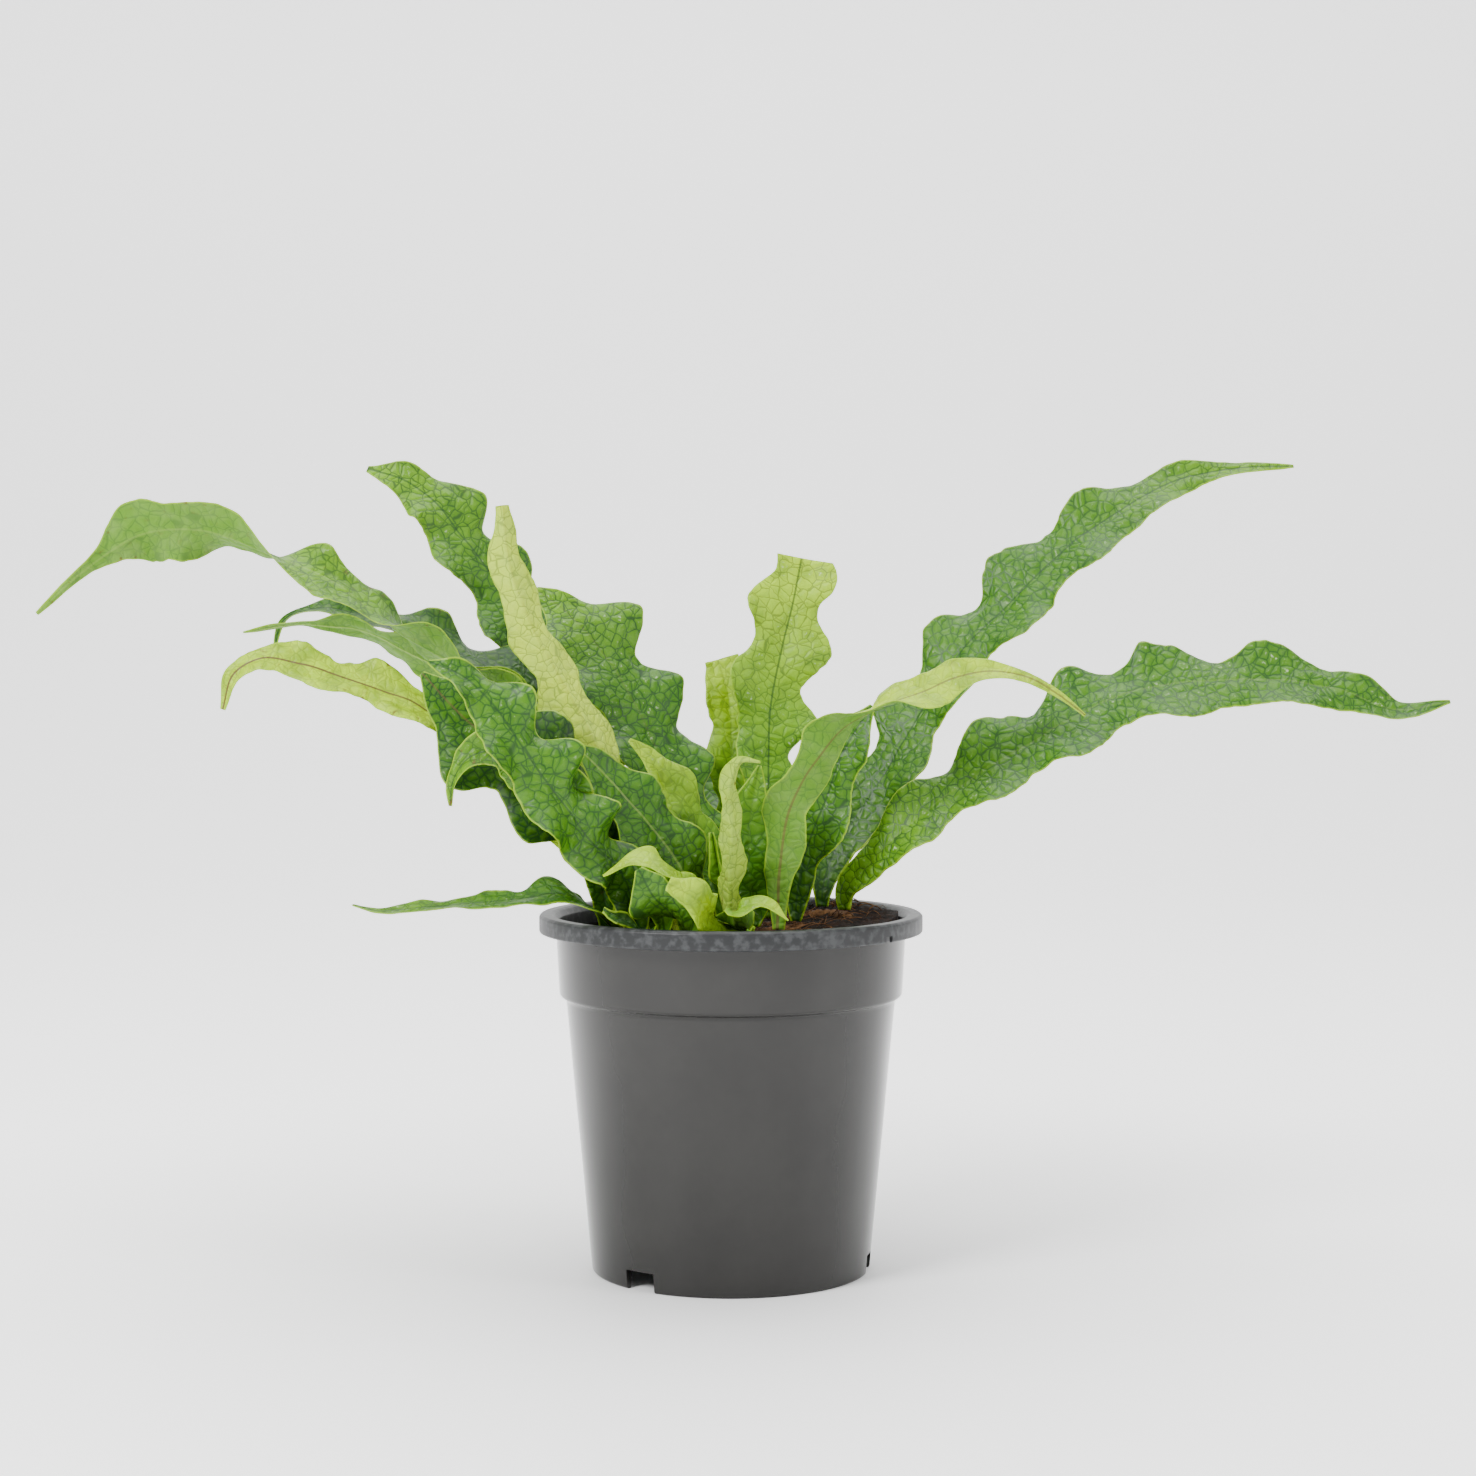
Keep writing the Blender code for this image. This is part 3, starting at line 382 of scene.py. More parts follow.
# %% Rhizome and fibres
RHIZOME_RADIUS = 5 * MM
RHIZOME_DEPTH = 3 * MM
RHIZOME_ROUTE = (
    (5.9, -1.6), (5.2, 1.2), (3.2, 2.8), (0.4, 3.6), (-2.4, 3.5), (-4.7, 2.2), (-4.7, 0.1),
    (-2.6, -0.7), (0.0, -0.9), (2.4, -1.0), (3.4, -2.6), (1.6, -4.0), (-0.8, -4.6), (-3.4, -4.5),
    (-5.2, -3.7), (-6.1, -2.3),
)


def rhizome_line(count):
    """Points along the middle of the rhizome, a little under the soil surface."""
    line = smooth_path(np.array(RHIZOME_ROUTE) * CM, count)
    return np.column_stack([line, soil_height(line[:, 0], line[:, 1]) - RHIZOME_DEPTH])


def tube(line, radius, sides):
    """Points and faces of a closed tube: a ring round each point of the line, each ring square
    to it, with a pole at both ends. The radius holds one value for each ring and side."""
    along = unit(np.gradient(line, axis=0))
    across = unit(np.cross(along, [0.0, 0.0, 1.0]))
    up = np.cross(across, along)
    turn = np.linspace(0.0, 2 * np.pi, sides, endpoint=False)[None, :, None]
    rings = line[:, None] + radius[:, :, None] * (np.cos(turn) * across[:, None]
                                                  + np.sin(turn) * up[:, None])
    rows = len(line)
    ends = line[[0, -1]] + along[[0, -1]] * np.array([[-0.5], [0.5]]) * radius[[0, -1], :1]
    j = np.arange(sides)
    k = (j + 1) % sides
    last, first = (rows - 1) * sides, rows * sides
    caps = np.concatenate([np.stack([j, k, 0 * j + first], axis=-1),
                           np.stack([k + last, j + last, 0 * j + first + 1], axis=-1)])
    return (np.concatenate([rings.reshape(-1, 3), ends]),
            grid_quads(rows, sides, closed=True).tolist() + caps.tolist())


def rhizome_piece():
    """A scaly stem: overlapping collars along it, each broken up around it by noise."""
    rows, sides = 560, 28
    line = rhizome_line(rows)
    run = run_length(line)[:, None]
    turn = np.arange(sides)[None, :]
    collar = (run / (5 * MM) + 0.25 * np.sin(turn * 2 * np.pi * 3 / sides)) % 1.0
    rough = lattice_noise(run / (2.2 * MM) + 0 * turn, turn * 0.9 + 0 * run, 8)
    taper = np.minimum(1.0, 0.35 + 0.65 * np.sqrt(np.minimum(run, run[-1] - run) / (9 * MM)))
    radius = taper * (RHIZOME_RADIUS - 0.5 * MM + 0.7 * MM * collar**2 + 0.25 * MM * rough)
    return mesh_piece("rhizome_scaly", *tube(line, radius, sides), sharp=50)


def fibre_piece(count):
    """Loose root fibres that lie on the soil: short bent threads of a few faces each."""
    chance = np.random.default_rng(12)
    points, faces, first = [], [], 0
    for k in range(count):
        bearing, reach = chance.uniform(0, 2 * np.pi), 76 * MM * math.sqrt(chance.uniform(0.02, 1))
        heading, length = chance.uniform(0, 2 * np.pi), chance.uniform(8, 22) * MM
        s = np.linspace(-0.5, 0.5, 6)
        bend = chance.uniform(-0.9, 0.9)
        angle = heading + bend * s * 2
        x = reach * math.sin(bearing) + np.cumsum(np.cos(angle)) * length / 6
        y = -reach * math.cos(bearing) + np.cumsum(np.sin(angle)) * length / 6
        far = np.maximum(np.hypot(x, y) / (80 * MM), 1.0)
        x, y = x / far, y / far
        lift = chance.uniform(0.2, 1.6) * MM + chance.uniform(0, 3) * MM * (1 - 4 * s * s)
        line = np.column_stack([x, y, soil_height(x, y) + lift])
        if np.min(np.linalg.norm(np.diff(line, axis=0), axis=1)) < 0.3 * MM:
            continue
        p, f = tube(line, np.full((6, 4), chance.uniform(0.12, 0.32) * MM), 4)
        points.append(p)
        faces += [[i + first for i in face] for face in f]
        first += len(p)
    return mesh_piece("soil_fibres", np.concatenate(points), faces)


rhizome = rhizome_piece()
fibres = fibre_piece(260)
print("rhizome:", triangles(rhizome), "fibres:", triangles(fibres))

# %% [markdown]
# ## Fronds
# Each frond is one strap of tissue with a midrib, wavy margins and no stalk to speak of. Its
# middle surface comes from a few numbers for each frond: where the midrib runs, how wide each
# half is, which way the upper side faces, and where the lobes stand. These are the same numbers
# that the plain blades were built from. The fine grid adds the rib and a small ripple of the
# margin, and its outer size stays within about two millimetres of theirs.

# %% Frond shapes
Frond = namedtuple("Frond", "name root path widths faces cup ruffle left right")
LOBE_DEPTH = 0.26
BLADE = 0.5 * MM
STALK = 1.6 * MM
FRONDS = (
    Frond("frond_left_long_arching", (-4.8, 0.7),
          ((-6.4, 0.2, 21.5), (-9.5, 0.2, 26.0), (-13.0, 0.2, 29.4), (-16.6, 0.2, 31.8),
           (-20.0, 0.1, 34.2), (-23.0, 0.0, 35.5), (-26.1, -0.3, 36.6), (-29.0, -0.5, 36.4),
           (-31.5, -0.5, 34.9), (-34.2, -0.5, 32.5)),
          (0.25, 0.8, 1.2, 1.6, 1.7, 1.7, 1.6, 1.1, 1.9, 0.5, 0.1),
          ((-0.3, -0.5, 0.8), (0.1, 0.2, 0.9), (0.2, 0.6, 0.8), (0.2, 0.6, 0.8), (0.2, 0.5, 0.8),
           (0.4, 0.1, 0.9), (0.6, -0.7, 0.5), (0.0, 0.3, 0.9), (-0.1, 0.85, 0.4),
           (-0.3, 0.85, 0.4), (-0.3, 0.8, 0.5)),
          (8, 8), 0.45, (14.0, 18.5, 24.0, 29.5, 34.5), (11.0, 16.5, 21.5, 25.5, 30.0, 34.0)),
    Frond("frond_left_pale_underside", (-4.9, 1.9),
          ((-6.0, 2.2, 20.5), (-8.8, 2.4, 25.2), (-12.6, 2.6, 28.8), (-16.1, 3.0, 30.5),
           (-18.8, 2.9, 31.7), (-21.6, 2.6, 32.0), (-24.6, 2.6, 31.6)),
          (0.25, 0.9, 1.5, 1.8, 1.7, 0.8, 0.1),
          ((-0.3, -0.3, 0.9), (0.1, 0.5, 0.8), (0.0, 0.5, 0.85), (0.0, 0.3, 0.95)),
          (10, 5), 0.35, (9.0, 14.0, 19.0, 23.0), (11.5, 16.5, 21.0)),
    Frond("frond_left_back_hooked", (-3.7, 3.1),
          ((-5.2, 4.4, 22.0), (-9.0, 4.8, 27.3), (-13.5, 4.9, 30.3), (-18.0, 4.8, 32.2),
           (-21.2, 4.8, 32.8), (-22.9, 4.8, 32.2), (-23.4, 4.8, 30.7)),
          (0.25, 0.9, 1.5, 1.8, 1.6, 0.9, 0.1),
          ((-0.3, -0.6, 0.6), (0.2, -0.5, 0.8), (0.0, -0.5, 0.85), (-0.5, -0.4, 0.6)),
          (5, 15), 0.45, (9.0, 13.5, 18.0, 22.5), (11.0, 16.0, 20.5)),
    Frond("frond_left_yellow", (-4.4, -0.3),
          ((-6.2, -1.2, 20.0), (-8.2, -1.4, 21.8), (-10.3, -1.5, 24.2), (-13.0, -1.5, 26.6),
           (-16.0, -1.4, 28.3), (-18.8, -1.4, 29.3), (-21.0, -1.4, 30.0), (-23.0, -1.4, 30.3),
           (-24.3, -1.4, 29.6), (-24.9, -1.4, 27.8)),
          (0.25, 0.6, 0.9, 1.2, 1.4, 1.3, 1.1, 0.7, 0.15),
          ((-0.3, 0.6, 0.8), (-0.3, 0.7, 0.6), (0.1, -0.4, 0.8), (0.1, -0.8, 0.6),
           (-0.4, -0.9, 0.2)),
          (8, 10), 0.3, (12.0, 16.5, 21.0), (10.0, 14.5, 19.0, 23.0)),
    Frond("frond_left_broad_dark", (-3.7, -0.35),
          ((-4.9, -1.7, 19.8), (-7.3, -2.7, 22.8), (-10.0, -3.5, 25.2), (-12.6, -3.6, 27.2),
           (-14.9, -3.5, 29.6)),
          (0.25, 1.1, 2.1, 2.6, 2.3, 0.15),
          ((-0.3, -0.8, 0.5), (0.1, -0.9, 0.4), (0.2, -0.9, 0.3)),
          (4, 4), 0.35, (5.0, 9.5, 14.0), (7.0, 11.5)),
    Frond("frond_left_small_hooked", (-6.0, -2.4),
          ((-6.6, -3.3, 20.4), (-7.9, -5.1, 22.8), (-9.3, -5.4, 24.9), (-11.0, -5.5, 25.9),
           (-12.4, -5.5, 25.6), (-13.2, -5.5, 24.4), (-13.3, -5.5, 23.3)),
          (0.25, 0.7, 1.2, 1.5, 1.4, 0.8, 0.1),
          ((-0.3, -0.6, 0.7), (0.0, -0.7, 0.7), (-0.2, -0.8, 0.5), (-0.6, -0.8, 0.2)),
          (15, 25), 0.25, (6.0, 10.5), (4.0, 8.5, 12.5)),
    Frond("frond_left_ruffled", (-4.5, -4.1),
          ((-5.3, -5.1, 20.2), (-6.8, -6.2, 21.9), (-8.0, -6.9, 23.7), (-9.4, -7.3, 25.6),
           (-11.0, -7.3, 28.0), (-12.4, -7.1, 29.4), (-14.2, -6.9, 30.2)),
          (0.25, 1.1, 1.6, 1.8, 1.6, 1.3, 0.1),
          ((-0.3, -0.8, 0.4), (0.4, -0.8, 0.3), (0.2, -0.8, 0.5), (0.1, -0.7, 0.6)),
          (5, 5), 0.9, (5.0, 8.5, 12.5), (3.5, 7.0, 10.5, 14.0)),
    Frond("frond_back_left_tall", (-2.7, 3.5),
          ((-4.3, 5.8, 20.5), (-6.8, 7.1, 24.4), (-8.9, 7.8, 28.2), (-11.6, 8.2, 33.1),
           (-14.0, 8.1, 36.5), (-15.8, 8.3, 38.7), (-17.2, 8.4, 39.6), (-19.1, 8.5, 40.2)),
          (0.25, 1.1, 1.7, 2.0, 2.2, 1.9, 1.8, 0.2),
          ((0.0, -1.0, 0.2), (0.5, -0.8, 0.3), (0.4, -0.8, 0.4), (0.3, -0.9, 0.4)),
          (4, 4), 0.45, (9.0, 14.8, 19.2, 23.6, 26.8), (12.0, 17.0, 21.8, 25.6)),
    Frond("frond_centre_young_pale", (-2.5, -0.7),
          ((-4.0, -0.8, 20.5), (-5.3, -1.1, 23.2), (-6.5, -1.3, 25.8), (-8.4, -1.3, 29.4),
           (-9.9, -1.2, 32.2), (-10.8, -1.2, 34.8), (-11.2, -1.2, 37.8)),
          (0.25, 0.75, 1.2, 1.5, 1.5, 1.2, 1.1, 0.4),
          ((-0.2, 0.9, -0.2), (-0.4, 0.9, -0.2), (-0.2, 1.0, 0.0)),
          (30, 34), 0.1, (7.0, 11.0, 15.0), (9.0, 13.0, 17.0)),
    Frond("frond_centre_broad", (-1.4, 3.6),
          ((-1.7, 2.6, 20.2), (-2.6, 2.6, 23.0), (-3.8, 3.0, 25.8), (-5.3, 3.5, 28.6),
           (-6.9, 4.0, 31.0), (-8.3, 4.3, 32.5), (-10.0, 4.6, 33.8)),
          (0.25, 1.3, 2.0, 2.4, 2.6, 2.4, 0.2),
          ((0.2, -1.0, 0.2), (0.6, -0.8, 0.3), (0.5, -0.8, 0.4)),
          (4, 4), 0.4, (6.0, 10.0, 14.0, 17.5), (5.0, 8.5, 12.5, 16.5)),
    Frond("frond_back_short", (0.5, 3.6),
          ((0.3, 4.8, 21.0), (0.0, 5.2, 25.2), (-0.1, 5.6, 28.0), (-0.7, 6.0, 30.2)),
          (0.25, 0.8, 1.1, 1.2, 0.9),
          ((0.0, -1.0, 0.2), (0.1, -1.0, 0.3)),
          (5, 15), 0.2, (5.0, 8.5, 12.0), (3.5, 7.0, 10.5)),
    Frond("frond_centre_tall", (2.0, 3.2),
          ((1.9, 3.4, 21.5), (1.9, 3.6, 24.6), (2.0, 3.9, 27.8), (2.6, 4.2, 30.8),
           (3.2, 4.5, 33.3), (3.6, 4.8, 35.4)),
          (0.3, 0.9, 1.1, 1.5, 1.9, 2.0, 1.9, 1.5),
          ((0.0, -1.0, 0.1), (0.2, -1.0, 0.2), (0.1, -1.0, 0.3)),
          (6, 8), 0.35, (8.0, 12.0, 16.0), (6.5, 10.0, 14.0, 18.0)),
    Frond("frond_front_young_folded", (0.0, -4.4),
          ((0.0, -5.4, 20.0), (0.1, -5.8, 22.2), (0.0, -5.8, 24.4), (0.5, -6.0, 25.4),
           (1.4, -6.2, 25.4)),
          (0.25, 0.8, 0.9, 0.8, 0.6, 0.1),
          ((0.1, 1.0, 0.0), (0.0, 1.0, 0.2), (-0.4, 0.9, 0.6)),
          (50, 50), 0.08, (4.0, 7.0), (2.5, 5.5)),
    Frond("frond_front_short_broad", (1.2, -0.9),
          ((0.9, -1.9, 20.0), (0.95, -2.2, 22.5), (1.4, -2.3, 25.1)),
          (0.25, 1.0, 1.1, 0.9, 0.1),
          ((0.0, -1.0, 0.2), (0.1, -1.0, 0.3)),
          (8, 8), 0.12, (3.0, 6.5), (4.5, 8.0)),
    Frond("frond_right_arching_twisted", (2.3, -3.6),
          ((2.4, -4.2, 20.5), (2.8, -4.4, 23.0), (3.9, -4.6, 25.2), (5.6, -4.8, 27.2),
           (7.2, -5.0, 28.0), (8.9, -5.0, 28.6), (10.7, -5.0, 29.4), (12.4, -5.0, 29.7),
           (14.2, -5.0, 29.4), (15.6, -5.0, 28.6), (16.9, -5.0, 27.6)),
          (0.25, 0.8, 1.1, 1.1, 1.5, 1.6, 0.7, 0.35, 0.1),
          ((0.3, 0.9, 0.1), (0.2, 0.9, 0.2), (-0.1, 0.9, 0.5), (-0.3, 0.3, 0.9),
           (0.0, -0.7, 0.7), (0.0, -0.7, 0.7), (0.2, -0.7, 0.7)),
          (12, 5), 0.25, (4.0, 8.0, 13.0), (6.0, 10.0, 14.5)),
    Frond("frond_right_upright", (3.2, -1.7),
          ((3.6, -2.2, 20.6), (4.6, -2.4, 23.4), (5.6, -2.4, 26.0), (6.9, -2.4, 28.0)),
          (0.25, 1.0, 1.4, 1.3, 0.15),
          ((-0.1, -1.0, 0.2), (-0.3, -0.9, 0.3)),
          (6, 6), 0.25, (3.5, 7.5, 11.0), (5.0, 9.5)),
    Frond("frond_right_long_upper", (4.6, 2.0),
          ((5.2, 2.7, 20.4), (7.0, 3.1, 23.2), (8.8, 3.5, 26.1), (11.1, 4.0, 29.8),
           (14.1, 4.5, 33.0), (16.9, 5.0, 35.7), (20.0, 5.5, 37.9), (23.2, 6.0, 39.5),
           (26.3, 6.3, 40.1), (29.1, 6.5, 40.2)),
          (0.3, 1.3, 1.8, 2.0, 2.2, 2.0, 1.6, 0.7, 0.1),
          ((-0.2, -1.0, 0.1), (-0.5, -0.7, 0.5), (-0.4, -0.75, 0.5), (-0.3, -0.7, 0.6)),
          (5, 5), 0.45, (10.8, 15.3, 20.0, 25.3, 30.8), (8.5, 13.2, 18.0, 23.7, 28.4)),
    Frond("frond_right_long_lower", (5.6, -0.6),
          ((6.9, -1.2, 20.3), (9.3, -1.5, 22.6), (12.5, -1.8, 24.9), (16.0, -2.0, 27.0),
           (19.1, -2.0, 28.5), (23.1, -2.0, 29.2), (27.4, -2.0, 29.2), (30.0, -2.0, 28.7),
           (32.4, -2.0, 27.8), (35.1, -2.0, 28.2)),
          (0.3, 1.3, 1.8, 2.2, 2.2, 2.1, 1.8, 1.1, 0.1),
          ((-0.4, -0.8, 0.4), (-0.4, -0.75, 0.6), (-0.1, -0.7, 0.7), (0.0, -0.7, 0.7)),
          (5, 5), 0.45, (6.2, 11.0, 16.2, 19.8, 25.6, 30.2),
          (5.2, 10.2, 14.8, 20.4, 27.0, 31.6)),
    Frond("frond_left_low_narrow", (-5.6, -3.1),
          ((-6.7, -4.4, 18.3), (-8.0, -5.1, 19.0), (-9.4, -5.5, 19.0), (-11.6, -5.6, 18.7),
           (-14.6, -5.6, 18.5), (-16.8, -5.6, 18.3), (-18.0, -5.6, 18.6)),
          (0.25, 0.8, 1.3, 1.0, 0.7, 0.6, 0.5, 0.1),
          ((-0.2, -0.3, 0.9), (0.1, -0.35, 0.9), (0.0, -0.25, 1.0)),
          (6, 6), 0.15, (3.0, 6.5, 10.0), (5.0, 8.5, 12.0)),
    Frond("frond_front_grey_broad", (-2.1, -4.8),
          ((-2.7, -6.7, 18.2), (-3.6, -7.6, 19.2), (-4.3, -7.9, 20.5)),
          (0.25, 0.8, 1.4, 1.2, 0.2),
          ((-0.4, -0.8, 0.4), (-0.5, -0.8, -0.1), (0.2, -0.9, 0.1)),
          (6, 6), 0.1, (2.0, 4.5), (3.0, 5.5)),
    Frond("frond_front_arching", (-1.6, -4.7),
          ((-1.9, -5.7, 19.2), (-3.0, -6.4, 20.3), (-4.6, -6.8, 20.8), (-6.0, -7.0, 20.1)),
          (0.25, 0.6, 0.8, 0.7, 0.1),
          ((-0.4, -0.7, 0.6), (0.1, -0.5, 0.9), (-0.2, -0.5, 0.9)),
          (10, 10), 0.12, (2.0, 4.5), (3.0, 6.0)),
    Frond("frond_front_bright_blunt", (-0.6, -4.6),
          ((-0.9, -7.1, 18.2), (-1.6, -8.2, 19.1), (-2.9, -8.6, 19.9)),
          (0.25, 0.9, 1.1, 0.9, 0.4),
          ((-0.2, -0.8, 0.6), (0.3, -0.9, 0.4), (0.4, -0.9, 0.2)),
          (8, 8), 0.1, (2.0, 4.5), (3.0, 5.5)),
    Frond("frond_front_rim_leaf", (0.8, -4.3),
          ((0.2, -6.6, 17.7), (0.4, -7.5, 18.6), (1.5, -7.9, 18.9), (2.7, -8.1, 18.1)),
          (0.25, 0.6, 0.8, 0.6, 0.1),
          ((-0.2, -0.6, 0.8), (0.2, -0.6, 0.8), (0.6, -0.4, 0.7)),
          (8, 8), 0.08, (2.0, 4.0), (3.0, 5.0)),
    Frond("frond_front_tiny", (-3.85, -4.4),
          ((-4.2, -6.2, 17.4), (-5.2, -6.8, 18.0), (-6.0, -7.0, 18.5)),
          (0.2, 0.3, 0.4, 0.4, 0.25),
          ((-0.2, -0.5, 0.9), (-0.2, -0.6, 0.8)),
          (5, 5), 0.02, (2.0, 4.0), (1.5, 3.5)),
    Frond("frond_front_small_upright", (-3.2, -4.5),
          ((-3.5, -4.9, 19.2), (-3.8, -5.0, 21.0)),
          (0.2, 0.6, 0.7, 0.3),
          ((0.1, -1.0, 0.2), (0.1, -1.0, 0.3)),
          (8, 8), 0.06, (2.0, 4.0), (1.5, 3.5)),
    Frond("frond_centre_left_mid", (-1.9, -0.7),
          ((-2.4, -2.4, 20.0), (-3.4, -2.9, 21.6), (-4.7, -3.4, 23.1), (-6.1, -3.9, 24.8),
           (-7.5, -4.5, 26.2)),
          (0.25, 1.0, 1.5, 1.7, 1.3, 0.15),
          ((0.0, -1.0, 0.3), (0.2, -0.9, 0.4), (0.3, -0.8, 0.5)),
          (5, 5), 0.3, (3.5, 7.0, 10.0), (5.0, 8.5)),
    Frond("frond_centre_yellow_tip", (-0.4, -0.9),
          ((-0.9, -0.7, 20.0), (-1.7, -0.7, 22.0), (-2.8, -0.8, 24.0), (-3.9, -0.9, 25.4),
           (-5.0, -1.0, 26.3)),
          (0.25, 0.6, 1.0, 1.1, 0.8, 0.1),
          ((0.3, -0.9, 0.2), (0.6, -0.8, 0.3), (0.3, -0.9, 0.4)),
          (8, 5), 0.2, (3.0, 6.5, 9.5), (4.5, 8.0)),
    Frond("frond_front_thin_folded", (0.4, -0.9),
          ((-0.4, -2.6, 19.2), (-0.9, -3.0, 21.9)),
          (0.2, 0.4, 0.4, 0.15),
          ((-0.5, -0.9, 0.0), (-0.5, -0.9, 0.0)),
          (35, 35), 0.03, (2.0, 4.0), (1.5, 3.5)),
    Frond("frond_rear_left", (-0.2, 3.6),
          ((-1.2, 6.4, 20.3), (-2.6, 9.4, 24.2), (-4.0, 12.3, 26.4), (-5.2, 15.0, 27.0)),
          (0.25, 0.7, 1.5, 1.8, 1.5, 0.9, 0.1),
          ((0.1, 0.4, 1.0), (0.1, -0.3, 1.0), (0.0, 0.2, 1.0)),
          (6, 6), 0.4, (5.0, 9.0, 13.0), (3.5, 7.0, 11.0)),
    Frond("frond_rear_right", (3.4, 2.7),
          ((4.2, 6.0, 20.4), (5.2, 9.0, 23.2), (6.2, 12.0, 24.2), (6.8, 14.5, 23.4)),
          (0.25, 1.2, 1.6, 1.3, 0.8, 0.1),
          ((-0.1, 0.3, 1.0), (-0.1, 0.0, 1.0), (0.0, 0.5, 1.0)),
          (6, 6), 0.35, (5.0, 8.5, 12.0), (3.5, 7.0, 10.5)),
)


def lobe_phase(run, crests):
    """An angle that passes a whole turn from each lobe's crest to the next."""
    crests = np.array(crests, float)
    first, last = crests[1] - crests[0], crests[-1] - crests[-2]
    before = crests[0] - first * np.arange(8, 0, -1)
    after = crests[-1] + last * np.arange(1, 9)
    knots = np.concatenate([before, crests, after])
    return 2 * np.pi * np.interp(run, knots, np.arange(len(knots)))


def frond_start(frond, line):
    """Where the stalk leaves the rhizome: just above the stem's nearest point."""
    nearest = line[np.argmin(np.hypot(line[:, 0] - frond.root[0] * CM,
                                      line[:, 1] - frond.root[1] * CM))]
    return np.array([frond.root[0] * CM, frond.root[1] * CM,
                     nearest[2] + RHIZOME_RADIUS + 1.3 * MM])


def frond_grid(frond, line, seed):
    """The blade's middle surface and what is known at each of its points.

    A point is the midrib's, plus its share of the half-width along the blade, lifted by the cup
    angle, plus a wave that grows towards the margin. Returns the points, the distance across in
    cm (left is positive), the distance along in cm, and the distance to the margin in cm.
    """
    start = frond_start(frond, line)
    path = [start, start + np.array([0.0, 0.0, 6 * MM])] + [np.array(p) * CM for p in frond.path]
    length = run_length(smooth_path(path, 200))[-1]
    rows = int(length / (1.1 * MM))
    columns = 2 * int(np.clip(max(frond.widths) * CM / (0.8 * MM), 8, 26)) + 1
    midrib = smooth_path(path, rows)
    run = np.linspace(0.0, 1.0, rows) * length / CM
    along = unit(np.gradient(midrib, axis=0))
    faces = stations(frond.faces, rows)
    faces = unit(faces - np.sum(faces * along, axis=1, keepdims=True) * along)
    across = np.cross(faces, along)
    half = np.maximum(stations(frond.widths, rows)[:, 0], 0.05) * CM
    share = np.linspace(-1.0, 1.0, columns)
    far = np.abs(share)
    phase = np.where((share > 0)[None, :], lobe_phase(run, frond.left)[:, None],
                     lobe_phase(run, frond.right)[:, None])
    free = np.clip(half / (max(frond.widths) * CM), 0.0, 1.0)[:, None]
    side = np.sign(share)[None, :] * 9.0
    uneven = 1 + 0.45 * lattice_noise(run[:, None] / 2.6 + 10, side + seed + 30, 25)
    reach = half[:, None] * far * (1 + LOBE_DEPTH * uneven * free * np.cos(phase) * far)
    edge = lattice_noise(run[:, None] / 0.55 + 20, side + seed + 30, 21)
    finer = lattice_noise(run[:, None] / 0.24 + 20, side + seed + 30, 22)
    reach = reach + free * far**4 * (0.8 * edge + 0.35 * finer) * MM
    cup = np.radians(stations(frond.cup, rows))
    wave = frond.ruffle * CM * free * far**1.6 * np.cos(phase + 0.5)
    ripple = lattice_noise(run[:, None] / 0.8 + 40, side + 0.8 * share + seed + 33, 23)
    swell = lattice_noise(run[:, None] / 1.3 + 40, 2.5 * share[None, :] + seed + 35, 24)
    wave = wave + free * (1.8 * far**3 * ripple + 1.1 * swell * (1 - far**4)) * MM
    points = (midrib[:, None] + (np.sign(share) * reach * np.cos(cup))[:, :, None] * across[:, None]
              + (reach * np.sin(cup) + wave)[:, :, None] * faces[:, None])
    return points, np.sign(share) * reach / CM, run[:, None] + 0 * share, (
        reach[:, [0]] * (share < 0) + reach[:, [-1]] * (share >= 0) - reach) / CM


